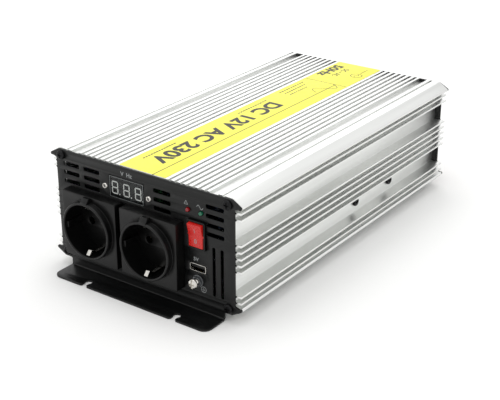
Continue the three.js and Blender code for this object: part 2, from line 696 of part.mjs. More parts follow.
// ---------- sockets ----------
const socketFaceY = frontY - SOCKET_FACE_DEPTH;
const socketRimY = socketFaceY - SOCKET_RING_RISE;
const socketFloorY = socketRimY + SOCKET_DEPTH;
const socketBackY = frontY + SOCKET_BODY_DEPTH;

// A bent strip seen from the side: the path's points are y and z, and the outline is half a
// thickness to either side of it.
function stripShape(path, thickness) {
  const sideOf = (sign) => path.map((p, i) => {
    const before = path[Math.max(i - 1, 0)];
    const after = path[Math.min(i + 1, path.length - 1)];
    const into = p === before ? null : p.clone().sub(before).normalize();
    const outOf = p === after ? null : after.clone().sub(p).normalize();
    const along = (into || outOf).clone().add(outOf || into).normalize();
    const spread = 1 / Math.max(along.dot(into || outOf), 0.5);
    const shift = (sign * thickness * spread) / 2;
    return point(p.x - along.y * shift, p.y + along.x * shift);
  });
  return polygon([...sideOf(1), ...sideOf(-1).reverse()]);
}

function socketBody() {
  const ringRadius = SOCKET_BORE_RADIUS + SOCKET_RING_WALL;
  const halfFaceW = SOCKET_FACE_WIDTH / 2;
  const halfFaceH = SOCKET_FACE_HEIGHT / 2;
  const face = block(-halfFaceW, halfFaceW, socketFaceY, frontY, -halfFaceH, halfFaceH);
  const ring = rod(ringRadius, socketRimY, frontY, 0, 0, 32);
  const rear = rod(SOCKET_BODY_RADIUS, frontY - 1, socketBackY, 0, 0, 32);
  // The key is a wedge from the ring's rim down to the face's edge.
  const keySide = polygon([
    point(socketFaceY + 1, SOCKET_BORE_RADIUS + 0.5), point(socketRimY, SOCKET_BORE_RADIUS + 0.5),
    point(socketRimY, ringRadius + 0.6), point(socketFaceY - KEY_FOOT_RISE, halfFaceH),
    point(socketFaceY + 1, halfFaceH),
  ]);
  const key = alongX(keySide, -KEY_WIDTH / 2, KEY_WIDTH / 2);
  const outside = joined([face, ring, rear, key]);
  const well = rod(SOCKET_BORE_RADIUS, socketRimY - 1, socketFloorY, 0, 0, 32);
  const pinHoles = [-1, 1].map((side) =>
    rod(PIN_HOLE_RADIUS, socketFloorY - 1, socketBackY, (side * PIN_SPACING) / 2, 0, 16));
  const pockets = [-1, 1].map((side) =>
    rod(PIN_HOLE_RADIUS + CONTACT_WALL + GAP, socketFloorY + SOCKET_FLOOR, socketBackY + 1,
      (side * PIN_SPACING) / 2, 0, 16));
  const slotHalf = CLIP_WIDTH / 2 + GAP;
  const clipSlots = [-1, 1].map((side) => {
    const middle = side * clipRadius;
    const half = CLIP_THICKNESS / 2 + GAP;
    return block(-slotHalf, slotHalf, socketFloorY - 1, socketBackY + 1, middle - half, middle + half);
  });
  const hollow = cut(outside, [well, ...pinHoles, ...pockets, ...clipSlots]);
  const guideFrom = SOCKET_BORE_RADIUS - GUIDE_RISE;
  const guides = [-1, 1].map((side) => {
    const xs = [side * guideFrom, side * (SOCKET_BORE_RADIUS + SOCKET_RING_WALL / 2)];
    return block(Math.min(...xs), Math.max(...xs), socketRimY + GUIDE_SETBACK, socketFloorY + 1,
      -GUIDE_WIDTH / 2, GUIDE_WIDTH / 2);
  });
  return joined([hollow, ...guides]);
}

// The earth strip's arms lie along the well's wall.
const clipRadius = SOCKET_BORE_RADIUS - 0.6 - CLIP_THICKNESS / 2;

// One strip: two springy arms in the well, joined round the back of the socket.
function earthClip() {
  const start = socketRimY + CLIP_SETBACK;
  const crest = SOCKET_BORE_RADIUS - CLIP_INSET;
  const back = socketBackY + GAP + CLIP_THICKNESS / 2;
  const arm = [
    point(start, crest + 2), point(start + 2.2, crest), point(start + 6.4, clipRadius),
    point(back, clipRadius),
  ];
  const path = [...arm, ...[...arm].reverse().map((p) => point(p.x, -p.y))];
  return alongX(stripShape(path, CLIP_THICKNESS), -CLIP_WIDTH / 2, CLIP_WIDTH / 2);
}

function addSockets() {
  const body = socketBody();
  const clip = earthClip();
  const contactFrom = socketFloorY + SOCKET_FLOOR + GAP;
  socketPlaces.forEach(([x, z], i) => {
    const side = ["left", "right"][i];
    addPart(`socket_${side}`, body.translate([x, 0, z]), BLACK_PLASTIC, 0.45);
    addPart(`earth_clip_${side}`, clip.translate([x, 0, z]), BRIGHT_METAL, 0.25, 1);
    ["line", "neutral"].forEach((pole, j) => {
      const contact = tube(PIN_HOLE_RADIUS, PIN_HOLE_RADIUS + CONTACT_WALL, contactFrom, socketBackY + 3,
        x + ((j * 2 - 1) * PIN_SPACING) / 2, z, 16);
      addPart(`socket_${side}_${pole}_contact`, contact, BRASS, 0.3, 1);
    });
  });
}

// ---------- display ----------
function addDisplay() {
  const halfW = WINDOW_WIDTH / 2;
  const halfH = WINDOW_HEIGHT / 2;
  const lipFront = frontInnerY + GAP;
  const lipBack = lipFront + 1;
  const pane = block(windowX - halfW, windowX + halfW, frontY - WINDOW_RISE, lipBack,
    windowZ - halfH, windowZ + halfH);
  const lip = block(windowX - halfW - WINDOW_LIP, windowX + halfW + WINDOW_LIP, lipFront, lipBack,
    windowZ - halfH - WINDOW_LIP, windowZ + halfH + WINDOW_LIP);
  addPart("display_window", pane.add(lip), 0x3a3d3d, 0.15);
  const unitFront = lipBack + GAP;
  const unitBack = unitFront + DISPLAY_DEPTH;
  const unit = block(windowX - halfW + 1, windowX + halfW - 1, unitFront, unitBack, windowZ - halfH + 1,
    windowZ + halfH - 1);
  addPart("display_digits", unit, 0x202224, 0.5);
  const overhang = WINDOW_WIDTH / 2 + RIVET_OFFSET + RIVET_HEAD_RADIUS + 1;
  const boardFront = unitBack + GAP;
  const board = block(windowX - overhang, windowX + overhang, boardFront, boardFront + BOARD_THICKNESS,
    windowZ - halfH - 1, windowZ + halfH + 1);
  addPart("display_board", board, BOARD_GREEN, 0.6);
  rivetPlaces.forEach(([x, z], i) => {
    const head = RIVET_HEAD_RADIUS;
    const bore = RIVET_BORE_RADIUS;
    const rivet = turned([
      [bore, frontY - 0.7], [head * 0.6, frontY - 0.9], [head, frontY - 0.3], [head, frontY],
      [RIVET_SHANK_RADIUS, frontY], [RIVET_SHANK_RADIUS, frontInnerY + 3.5], [bore, frontInnerY + 3.5],
      [bore, frontY - 0.7],
    ], x, z, 16);
    addPart(`rivet_${["left", "right"][i]}`, rivet, BRIGHT_METAL, 0.25, 1);
  });
}

// ---------- right-hand column ----------
const bezelFrontY = frontY - BEZEL_RISE;
const pivotY = bezelFrontY + 1;

function addSwitch() {
  const halfBodyW = switchBodyWidth / 2;
  const halfBodyH = switchBodyHeight / 2;
  const bezel = block(columnX - BEZEL_WIDTH / 2, columnX + BEZEL_WIDTH / 2, bezelFrontY, frontY,
    switchZ - BEZEL_HEIGHT / 2, switchZ + BEZEL_HEIGHT / 2);
  const back = frontY + SWITCH_DEPTH;
  const box = block(columnX - halfBodyW, columnX + halfBodyW, frontY - 0.5, back, switchZ - halfBodyH,
    switchZ + halfBodyH);
  const cavityHalfW = ROCKER_WIDTH / 2 + RUNNING_GAP;
  const cavity = block(columnX - cavityHalfW, columnX + cavityHalfW, bezelFrontY - 1, back - 3,
    switchZ - rockerCavityHalf, switchZ + rockerCavityHalf);
  const bearing = new THREE.CylinderGeometry(TRUNNION_RADIUS + RUNNING_GAP, TRUNNION_RADIUS + RUNNING_GAP,
    switchBodyWidth - 2 * 0.3, 12);
  bearing.rotateZ(Math.PI / 2);
  bearing.translate(columnX, pivotY, switchZ);
  addPart("switch_body", cut(bezel.add(box), [cavity, solidOf(bearing)]), BLACK_PLASTIC, 0.35);

  // The rocker seen from the side, level: two flat faces meet in a shallow valley over the pivot,
  // and its ends are round about the pivot.
  const endZ = Math.sqrt(ROCKER_RADIUS ** 2 - ROCKER_END_RISE ** 2);
  const backZ = Math.sqrt(ROCKER_RADIUS ** 2 - ROCKER_BACK_DEPTH ** 2) - 1;
  const outline = new THREE.Shape();
  outline.moveTo(-ROCKER_MIDDLE_RISE, 0);
  outline.lineTo(-ROCKER_END_RISE, -endZ);
  outline.absarc(0, 0, ROCKER_RADIUS, Math.atan2(-endZ, -ROCKER_END_RISE),
    Math.atan2(-Math.sqrt(ROCKER_RADIUS ** 2 - 1), 1));
  outline.lineTo(ROCKER_BACK_DEPTH, -backZ);
  outline.lineTo(ROCKER_BACK_DEPTH, backZ);
  outline.absarc(0, 0, ROCKER_RADIUS, Math.atan2(Math.sqrt(ROCKER_RADIUS ** 2 - 1), 1),
    Math.atan2(endZ, -ROCKER_END_RISE));
  outline.closePath();
  const paddle = alongX(outline, -ROCKER_WIDTH / 2, ROCKER_WIDTH / 2);
  const trunnion = new THREE.CylinderGeometry(TRUNNION_RADIUS, TRUNNION_RADIUS,
    ROCKER_WIDTH + 2 * SWITCH_WALL, 12);
  trunnion.rotateZ(Math.PI / 2);
  const rocker = paddle.add(solidOf(trunnion)).rotate([ROCKER_TILT, 0, 0]);
  addPart("switch_rocker", rocker.translate([columnX, pivotY, switchZ]), RED_PLASTIC, 0.35);
}

function addLights() {
  lightPlaces.forEach(([x, z], i) => {
    const tip = frontY - LIGHT_RISE;
    const r = LIGHT_RADIUS;
    const flange = frontInnerY + GAP;
    const light = turned([
      [0, tip], [r * 0.5, tip + r * 0.13], [r * 0.87, tip + r * 0.5], [r, tip + r], [r, flange],
      [r + 0.5, flange], [r + 0.5, flange + 1], [0, flange + 1],
    ], x, z, 12);
    addPart(["fault_light", "power_light"][i], light, [0xb3262b, 0x1f7a55][i], 0.2);
  });
}

function addPort() {
  const z = plateBottom + PORT_UP;
  const halfW = PORT_WIDTH / 2;
  const halfH = PORT_HEIGHT / 2;
  const mouth = frontY - 0.4;
  const back = frontY + PORT_DEPTH;
  const outer = block(columnX - halfW, columnX + halfW, mouth, back, z - halfH, z + halfH);
  const inner = block(columnX - halfW + PORT_WALL, columnX + halfW - PORT_WALL, mouth - 1, back - PORT_WALL,
    z - halfH + PORT_WALL, z + halfH - PORT_WALL);
  addPart("port_shell", outer.subtract(inner), BRIGHT_METAL, 0.3, 1);
  const tongueLow = z + halfH - PORT_WALL - GAP - 0.6 - TONGUE_THICKNESS;
  const tongue = block(columnX - TONGUE_WIDTH / 2, columnX + TONGUE_WIDTH / 2,
    mouth + 1, back - PORT_WALL - 3, tongueLow, tongueLow + TONGUE_THICKNESS);
  const root = block(columnX - halfW + PORT_WALL + GAP, columnX + halfW - PORT_WALL - GAP,
    back - PORT_WALL - 3.5, back - PORT_WALL - GAP, z - halfH + PORT_WALL + GAP, z + halfH - PORT_WALL - GAP);
  addPart("port_tongue", tongue.add(root), BLACK_PLASTIC, 0.5);
}

function hexagon(flats) {
  const radius = flats / Math.sqrt(3);
  return polygon(Array.from({ length: 6 }, (_, i) =>
    point(radius * Math.cos((i * Math.PI) / 3), radius * Math.sin((i * Math.PI) / 3))));
}

function addEarthScrew() {
  const z = plateBottom + EARTH_UP;
  const washerFront = frontY - EARTH_WASHER_THICKNESS;
  const nutFront = washerFront - EARTH_NUT_THICKNESS;
  const seat = nutFront - EARTH_LUG_SPACE;
  const tip = seat - EARTH_HEAD_HEIGHT;
  const r = EARTH_HEAD_RADIUS;
  const shank = turned([
    [0, tip], [r * 0.6, tip], [r * 0.92, tip + 0.7], [r, tip + 1.5], [r, seat], [EARTH_SCREW_RADIUS, seat],
    [EARTH_SCREW_RADIUS, frontInnerY + 8], [0, frontInnerY + 8],
  ], 0, 0, 18);
  const arm = RECESS_WIDTH / 2;
  const slot = block(-arm, arm, tip - 1, tip + RECESS_DEPTH, -r - 1, r + 1);
  const cross = block(-RECESS_SPAN / 2, RECESS_SPAN / 2, tip - 1, tip + RECESS_DEPTH, -arm, arm);
  addPart("earth_screw", cut(shank, [slot, cross]).translate([columnX, 0, z]), BRIGHT_METAL, 0.2, 1);
  const hole = rod(EARTH_SCREW_RADIUS + SCREW_CLEARANCE, nutFront - 1, frontY + 1, 0, 0, 16);
  const nut = alongY(hexagon(EARTH_NUT_FLATS), nutFront, washerFront).subtract(hole);
  addPart("earth_nut", nut.translate([columnX, 0, z]), BRIGHT_METAL, 0.25, 1);
  const washer = tube(EARTH_SCREW_RADIUS + SCREW_CLEARANCE, EARTH_WASHER_RADIUS, washerFront, frontY,
    columnX, z, 20);
  addPart("earth_washer", washer, BRIGHT_METAL, 0.3, 1);
}

// ---------- rear plate fittings ----------
const fanFrontY = rearInnerY - GAP - FAN_DEPTH; // the fan's inner face
const fanBackY = rearInnerY - GAP;
const rotorFromY = fanFrontY + STRUT_DEPTH + 1.5;
const rotorToY = fanBackY - 1;

function addFan() {
  const [x, z] = fanPlace;
  const half = FAN_SIZE / 2;
  const square = polygon([point(-half, -half), point(half, -half), point(half, half), point(-half, half)]);
  square.holes.push(circlePath(0, 0, fanBoreRadius));
  for (const sx of [-1, 1]) {
    for (const sz of [-1, 1]) {
      square.holes.push(circlePath((sx * fanHoleSpacing) / 2, (sz * fanHoleSpacing) / 2,
        SCREW_RADIUS + SCREW_CLEARANCE));
    }
  }
  const frame = alongY(square, fanFrontY, fanBackY, 8);
  const strut = block(0, fanBoreRadius + 0.5, fanFrontY, fanFrontY + STRUT_DEPTH, -STRUT_WIDTH / 2,
    STRUT_WIDTH / 2);
  const struts = [0, 1, 2, 3].map((i) => strut.rotate([0, 45 + 90 * i, 0]));
  const motorPlate = rod(HUB_RADIUS, fanFrontY, fanFrontY + STRUT_DEPTH, 0, 0, 24);
  const shaft = rod(SHAFT_RADIUS, fanFrontY, rotorToY - 3, 0, 0, 12);
  const wholeFrame = joined([frame, ...struts, motorPlate, shaft]).translate([x, 0, z]);
  addPart("fan_frame", wholeFrame, BLACK_PLASTIC, 0.5);

  const hub = rod(HUB_RADIUS, rotorFromY, rotorToY, 0, 0, 24);
  const bearing = rod(SHAFT_RADIUS + RUNNING_GAP, rotorFromY - 1, rotorToY - 3 + RUNNING_GAP, 0, 0, 12);
  const sweep = rod(fanBoreRadius - BLADE_CLEARANCE, rotorFromY, rotorToY, 0, 0, 32);
  const blades = Array.from({ length: BLADE_COUNT }, (_, i) => {
    const blade = block(HUB_RADIUS - 2, fanBoreRadius, -FAN_DEPTH, FAN_DEPTH, -BLADE_THICKNESS / 2,
      BLADE_THICKNESS / 2);
    const placed = blade.rotate([BLADE_ANGLE, 0, 0]).translate([0, (rotorFromY + rotorToY) / 2, 0]);
    return placed.rotate([0, (360 * i) / BLADE_COUNT, 0]);
  });
  const rotor = joined(blades).intersect(sweep).add(hub).subtract(bearing);
  addPart("fan_rotor", rotor.translate([x, 0, z]), BLACK_PLASTIC, 0.5);

  // The finger guard: rings of wire joined by four spokes that end in eyes over the screws.
  const wireY = rearY + GUARD_WIRE;
  const ringRadii = Array.from({ length: GUARD_RINGS }, (_, i) =>
    ((fanBoreRadius - GUARD_WIRE) * (i + 1)) / GUARD_RINGS);
  const rings = ringRadii.map((radius) => {
    const section = [0, 1, 2, 3, 4].map((i) => {
      const angle = (i * 2 * Math.PI) / 5;
      return [radius + GUARD_WIRE * Math.cos(angle), wireY + GUARD_WIRE + GUARD_WIRE * Math.sin(angle)];
    });
    return turned([...section, section[0]], 0, 0, 20);
  });
  const eyeDistance = Math.SQRT2 * (fanHoleSpacing / 2);
  const spokes = [0, 1, 2, 3].map((i) => {
    const wire = new THREE.CylinderGeometry(GUARD_WIRE, GUARD_WIRE, eyeDistance - SCREW_RADIUS - 1.5, 6);
    wire.rotateZ(Math.PI / 2);
    wire.translate((eyeDistance - SCREW_RADIUS - 1.5) / 2, wireY, 0);
    const eye = tube(SCREW_RADIUS + SCREW_CLEARANCE, SCREW_RADIUS + 2 * GUARD_WIRE, rearY,
      rearY + GUARD_WIRE * 1.6, eyeDistance, 0, 12);
    return solidOf(wire).add(eye).rotate([0, 45 + 90 * i, 0]);
  });
  addPart("fan_guard", joined([...rings, ...spokes]).translate([x, 0, z]), BRIGHT_METAL, 0.3, 1);
}

function addTerminals() {
  const baseFace = rearY + TERMINAL_BASE_RISE;
  const studTip = rearY + STUD_REACH;
  const neck = TERMINAL_NECK_RADIUS;
  const studHole = STUD_RADIUS + GAP;
  terminalPlaces.forEach(([x, z], i) => {
    const pole = ["negative", "positive"][i];
    const colour = [BLACK_PLASTIC, RED_PLASTIC][i];
    const base = turned([
      [studHole, rearInnerY - 3], [neck, rearInnerY - 3], [neck, rearY], [TERMINAL_BASE_RADIUS, rearY],
      [TERMINAL_BASE_RADIUS, baseFace - 1], [TERMINAL_BASE_RADIUS - 1, baseFace], [studHole, baseFace],
      [studHole, rearInnerY - 3],
    ], x, z, 24);
    addPart(`${pole}_terminal_base`, base, colour, 0.4);
    const headBack = rearInnerY - 3 - GAP;
    const stud = turned([
      [0, headBack - 3], [neck + 1, headBack - 3], [neck + 1, headBack], [STUD_RADIUS, headBack],
      [STUD_RADIUS, studTip - 1], [STUD_RADIUS - 1, studTip], [0, studTip],
    ], x, z, 20);
    addPart(`${pole}_terminal_stud`, stud, BRASS, 0.3, 1);
    const knobFrom = baseFace + LUG_GAP;
    const grip = Array.from({ length: KNOB_RIBS * 4 }, (_, k) => {
      const angle = (k * 2 * Math.PI) / (KNOB_RIBS * 4);
      const radius = KNOB_RADIUS - (k % 4 < 2 ? 0 : 0.8);
      return point(radius * Math.cos(angle), radius * Math.sin(angle));
    });
    const knob = alongY(polygon(grip), knobFrom, knobFrom + KNOB_HEIGHT);
    const bore = rod(studHole, knobFrom - 1, knobFrom + KNOB_HEIGHT + 1, 0, 0, 20);
    addPart(`${pole}_terminal_knob`, knob.subtract(bore).translate([x, 0, z]), colour, 0.4);
  });
}

// ---------- inside ----------
function addInside() {
  const boardFront = frontInnerY + BOARD_FRONT_MARGIN;
  const boardRear = rearInnerY - BOARD_REAR_MARGIN;
  const edge = innerHalfWidth - GAP;
  addPart("main_board", block(-edge, edge, boardFront, boardRear, boardZ, boardTop), BOARD_GREEN, 0.6);

  const seat = boardTop + GAP;
  const coreSpacing = CORE_WIDTH + 6;
  [0, 1].forEach((i) => {
    const x = (i - 0.5) * coreSpacing;
    const y = boardFront + 0.5 * (boardRear - boardFront);
    const base = seat + 2;
    const openingWidth = (CORE_WIDTH - 2 * CORE_LEG - 1.4 * CORE_LEG) / 2;
    const openingOffset = (1.4 * CORE_LEG + openingWidth) / 2;
    const openings = [-1, 1].map((side) => {
      const middle = x + side * openingOffset;
      return block(middle - openingWidth / 2, middle + openingWidth / 2, y - CORE_DEPTH, y + CORE_DEPTH,
        base + CORE_LEG, base + CORE_HEIGHT - CORE_LEG);
    });
    const frame = block(x - CORE_WIDTH / 2, x + CORE_WIDTH / 2, y - CORE_DEPTH / 2, y + CORE_DEPTH / 2,
      base, base + CORE_HEIGHT);
    const core = cut(frame, openings);
    addPart(`transformer_core_${i + 1}`, core, FERRITE, 0.6);
    const legHalf = 0.7 * CORE_LEG + GAP;
    const coilHalf = legHalf + openingWidth - 2 * GAP;
    const coilY = CORE_DEPTH / 2 + WINDING_BULGE;
    const corner = COIL_CORNER;
    const coil = polygon([
      point(x - coilHalf, y - coilY + corner), point(x - coilHalf + corner, y - coilY),
      point(x + coilHalf - corner, y - coilY), point(x + coilHalf, y - coilY + corner),
      point(x + coilHalf, y + coilY - corner), point(x + coilHalf - corner, y + coilY),
      point(x - coilHalf + corner, y + coilY), point(x - coilHalf, y + coilY - corner),
    ]);
    coil.holes.push(rectanglePath(x, y, 2 * legHalf, CORE_DEPTH + 2 * GAP));
    const coilLow = base + CORE_LEG + GAP;
    const winding = alongZ(coil, coilLow, base + CORE_HEIGHT - CORE_LEG - GAP);
    addPart(`transformer_winding_${i + 1}`, winding, COPPER, 0.5, 0.3);
  });

  [0, 1].forEach((i) => {
    const can = new THREE.LatheGeometry([
      point(0, 0), point(CAPACITOR_RADIUS, 0), point(CAPACITOR_RADIUS, CAPACITOR_HEIGHT - 1),
      point(CAPACITOR_RADIUS - 1, CAPACITOR_HEIGHT), point(0, CAPACITOR_HEIGHT),
    ], 20);
    can.rotateX(Math.PI / 2);
    can.translate((i - 0.5) * 3 * CAPACITOR_RADIUS, boardFront + 2 * CAPACITOR_RADIUS, seat);
    addPart(`capacitor_${i + 1}`, solidOf(can), 0x22314f, 0.4);
  });

  const ring = Array.from({ length: 8 }, (_, k) => {
    const angle = (k * Math.PI) / 4 + Math.PI / 8;
    return [CHOKE_RADIUS + CHOKE_TUBE * Math.cos(angle), CHOKE_TUBE * Math.sin(angle)];
  });
  const choke = turned([...ring, ring[0]], 0, 0, 24);
  const chokeY = boardRear - 2.5 * CHOKE_TUBE;
  addPart("output_choke", choke.translate([columnX / 2, chokeY, seat + CHOKE_RADIUS + CHOKE_TUBE]), COPPER,
    0.5, 0.3);

  const clampMiddle = (SIDE_SCREW_Y[0] + SIDE_SCREW_Y[1]) / 2;
  const screwGap = SIDE_SCREW_Y[1] - SIDE_SCREW_Y[0];
  const hole = SCREW_RADIUS + SCREW_CLEARANCE;
  const clampLow = Math.max(channelZ - CLAMP_HEIGHT / 2, seat + 1);
  for (const side of [-1, 1]) {
    const name = side > 0 ? "right" : "left";
    const far = innerHalfWidth - GAP - TRANSISTOR_THICKNESS - GAP;
    const xs = [side * (far - CLAMP_THICKNESS), side * far];
    const bar = block(Math.min(...xs), Math.max(...xs), clampMiddle - CLAMP_LENGTH / 2,
      clampMiddle + CLAMP_LENGTH / 2, clampLow, channelZ + CLAMP_HEIGHT / 2);
    const bores = SIDE_SCREW_Y.map((y) => {
      const drill = new THREE.CylinderGeometry(hole, hole, 4 * CLAMP_THICKNESS, 12);
      drill.rotateZ(Math.PI / 2);
      drill.translate(side * far, y, channelZ);
      return solidOf(drill);
    });
    addPart(`clamp_bar_${name}`, cut(bar, bores), ALUMINIUM, 0.5, 1);
    const outer = innerHalfWidth - GAP;
    const ts = [side * (outer - TRANSISTOR_THICKNESS), side * outer];
    const chipLow = seat + RIB_THICKNESS + 1;
    const chip = block(Math.min(...ts), Math.max(...ts), clampMiddle - TRANSISTOR_WIDTH / 2,
      clampMiddle + TRANSISTOR_WIDTH / 2, chipLow, chipLow + TRANSISTOR_HEIGHT);
    addPart(`transistor_${name}`, chip, 0x2b2b2e, 0.5);
  }
}

addShells();
addPart("front_plate", endPlate(-1, frontHoles()), BLACK_PAINT, 0.5, 0.2);
addPart("rear_plate", endPlate(1, rearHoles()), BLACK_PAINT, 0.5, 0.2);
addLabel();
addScrews();
addSockets();
addDisplay();
addSwitch();
addLights();
addPort();
addEarthScrew();
addFan();
addTerminals();
addInside();

export default group;
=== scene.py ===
import math

import bmesh
import bpy
from bpy.props import FloatProperty, FloatVectorProperty, PointerProperty
from bpy.types import Operator, Panel, PropertyGroup
from mathutils import Matrix, Vector


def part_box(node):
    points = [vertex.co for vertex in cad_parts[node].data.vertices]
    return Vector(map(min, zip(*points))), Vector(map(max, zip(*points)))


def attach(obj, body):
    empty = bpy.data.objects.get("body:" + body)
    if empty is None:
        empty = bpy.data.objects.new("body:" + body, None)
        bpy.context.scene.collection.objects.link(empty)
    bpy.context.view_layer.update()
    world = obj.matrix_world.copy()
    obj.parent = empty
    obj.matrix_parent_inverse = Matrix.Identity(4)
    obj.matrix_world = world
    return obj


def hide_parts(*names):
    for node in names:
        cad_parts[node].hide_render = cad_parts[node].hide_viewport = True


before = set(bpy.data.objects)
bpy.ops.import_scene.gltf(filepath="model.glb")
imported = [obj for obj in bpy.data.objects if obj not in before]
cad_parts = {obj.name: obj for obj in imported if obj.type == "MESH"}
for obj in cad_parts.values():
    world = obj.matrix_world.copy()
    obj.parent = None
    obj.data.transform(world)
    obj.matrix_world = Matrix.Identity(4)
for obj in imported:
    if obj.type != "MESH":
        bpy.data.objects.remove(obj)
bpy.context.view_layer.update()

bl_info = {
    "name": "Mains power inverter",
    "version": (1, 0, 0),
    "blender": (4, 5, 0),
    "location": "3D View > Sidebar > Inverter",
    "description": "A bench power inverter in a finned aluminium case, piece by piece",
    "category": "Object",
}

MM = 0.001  # every size below is in millimetres and is turned to metres as its piece is made


# ---------- places read from the frame ----------
def lowest(node):
    return [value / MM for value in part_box(node)[0]]


def highest(node):
    return [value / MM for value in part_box(node)[1]]


def middle(node):
    return [(a + b) / 2 for a, b in zip(lowest(node), highest(node))]


def spot(node):
    """The x and z of a node's middle, as seen on a plate."""
    x, _, z = middle(node)
    return x, z


def span(node):
    """A node's ends along Y."""
    return lowest(node)[1], highest(node)[1]


SHEET = 1.5  # the end plates' steel
SHELL_FRONT, SHELL_REAR = span("top_shell")
FACE_Y = SHELL_FRONT - SHEET
REAR_Y = SHELL_REAR + SHEET
CENTRE_Z = (lowest("bottom_shell")[2] + highest("top_shell")[2]) / 2
TOP_LEVEL = highest("top_shell")[2] - CENTRE_Z
FOOT_REACH = FACE_Y - lowest("front_plate")[1]
SIDES = ("left", "right")
QUARTERS = ((-1, -1), (-1, 1), (1, -1), (1, 1))  # the signs of a square's corners
PLATE_SCREWS = [f"front_screw_{i + 1}" for i in range(4)]

# ---------- the housing's section, measured from its centre ----------
HALF_WIDTH = 80.0  # to the end plates' straight side edges
HALF_HEIGHT = 43.0  # to their top and bottom edges
TIP_X = HALF_WIDTH + 4.6  # the side fins' tips
FIN = 1.5
FIN_PITCH = 4.95
GROOVE_FLOOR = 78.2
CHANNEL_FLOOR = 75.2
WALL = 3.0
UPPER_LEVELS = (HALF_HEIGHT - 9.6 - FIN_PITCH, HALF_HEIGHT - 9.6)
MIDDLE_LEVELS = (FIN_PITCH, 2 * FIN_PITCH)
PAD_HALF = 23.5
PAD_DROP = 0.3  # the label lies in this step
TOP_GROOVES = 7
TOP_GROOVE = 2.3
TOP_PITCH = 5.11
TOP_DEPTH = 3.0
CORNER_X = HALF_WIDTH - 2.4
SLAB = 6.6
THIN_GROOVE = (1.6, 1.5)  # width and depth
EDGE_FIN = 3.4
WIDE_GROOVE = 7.2
WING_TIP = (TIP_X - 0.35, HALF_HEIGHT - 5.1)
WING_TIP_RADIUS = 1.28
WING_ROOT = 7.8  # below the top edge
SPLIT = -FIN_PITCH / 2
LAP = 3.0
GAP = 0.3
BOARD_LEDGE = 2.2  # the rails that hold the main board
BOARD_RAIL = 1.5

# ---------- end plates ----------
FOOT_HALF = 71.0
FOLD_RADIUS = 1.0
FOLD_STEPS = 8
FOOT_CORNER = 6.0
NOTCH_X = 41.2
NOTCH_HOLE = 2.8
NOTCH_NECK = 4.0
NOTCH_INSET = 5.7
NOTCH_FLARE = 1.2
NOTCH_ROUND = 0.6
TOOTH = 0.7
SCREW_HOLE = 1.8
VENT = (15.0, 3.1, 1.0)  # width, height and corner radius
VENT_PITCH = 6.7
VENT_TOP = HALF_HEIGHT - 10.1
FRONT_VENTS = ((-65.4, 3), (-46.0, 3), (18.7, 3), (64.0, 4))  # column centre and rows
TALL_VENTS = ((62.7, 16.5, 53.6), (69.6, 16.5, 53.6))  # x, lower end and upper end
TALL_VENT_WIDTH = 2.4
STUD_HOLE = 2.3  # for the earth screw
TERMINAL_HOLE = 7.3
SOCKET_HOLE = 22.3
WINDOW_HOLE = (31.9, 16.9, 0.3)
SWITCH_HOLE = (14.9, 20.9, 0.3)
PORT_HOLE = (14.3, 6.3, 0.6)
FAN_BORE = 28.0
FAN_HOLE = 25.0  # from the fan's middle to its screws, across and up
FAN_CORNERS = [(sx * FAN_HOLE, sz * FAN_HOLE) for sx, sz in QUARTERS]

# ---------- sockets ----------
SOCKET_BORE = 20.0
SOCKET_WALL = 2.0
SOCKET_RISE = 5.0  # the ring in front of the face block
SOCKET_WELL = 17.5  # from the ring's rim to the floor
PIN_SPREAD = 9.5
PIN_HOLE = 2.8

# ---------- print and screws ----------
INK = 0.04  # the print's thickness, thicker than the real one so that it has a face of its own
CAP_HEIGHT = 0.72  # a capital's share of the type's size
SCREW_HEAD = 3.5
SCREW_HEAD_HEIGHT = 2.0
SCREW_SHANK = 1.5
SCREW_RECESS = 4.0
SHARP = 32  # degrees between faces that stay a crisp edge
RIGHT_ANGLE = math.pi / 2


# ---------- outlines ----------
def swept_angles(steps, total=RIGHT_ANGLE):
    """The angles from zero to a total, both ends included."""
    return [total * k / steps for k in range(steps + 1)]


def circle(x, z, radius, steps=64):
    turns = swept_angles(steps, 2 * math.pi)[:-1]
    return [(x + radius * math.cos(a), z + radius * math.sin(a)) for a in turns]


def arc(x, z, radius, start, end, steps):
    """Points on an arc, with its angles in degrees."""
    angles = [math.radians(start + (end - start) * k / steps) for k in range(steps + 1)]
    return [(x + radius * math.cos(a), z + radius * math.sin(a)) for a in angles]


def rounded(corners, steps=4):
    """An outline through (x, z, radius) corners. A corner with no radius stays sharp."""
    outline = []
    for i, (x, z, radius) in enumerate(corners):
        here = Vector((x, z))
        before = Vector(corners[i - 1][:2]) - here
        after = Vector(corners[(i + 1) % len(corners)][:2]) - here
        half = before.angle(after) / 2
        if not radius or half > math.radians(89):
            outline.append((x, z))
            continue
        reach = min(radius / math.tan(half), 0.48 * before.length, 0.48 * after.length)
        bend = reach * math.tan(half)
        before.normalize()
        after.normalize()
        centre = here + (before + after).normalized() * bend / math.sin(half)
        first = here + before * reach - centre
        last = here + after * reach - centre
        start = math.atan2(first.y, first.x)
        turn = (math.atan2(last.y, last.x) - start + math.pi) % (2 * math.pi) - math.pi
        for k in range(steps + 1):
            angle = start + turn * k / steps
            outline.append((centre.x + bend * math.cos(angle), centre.y + bend * math.sin(angle)))
    return outline


def rectangle(x, z, width, height, radius=0.0, steps=5):
    signs = ((-1, -1), (1, -1), (1, 1), (-1, 1))
    return rounded([(x + sx * width / 2, z + sz * height / 2, radius) for sx, sz in signs], steps)


def mirrored(points):
    """The same corners on the other side of the middle, in the order that goes on round."""
    return [(-x, z, radius) for x, z, radius in reversed(points)]


def sharp(points):
    """Points as corners that stay sharp."""
    return [(a, b, 0) for a, b in points]


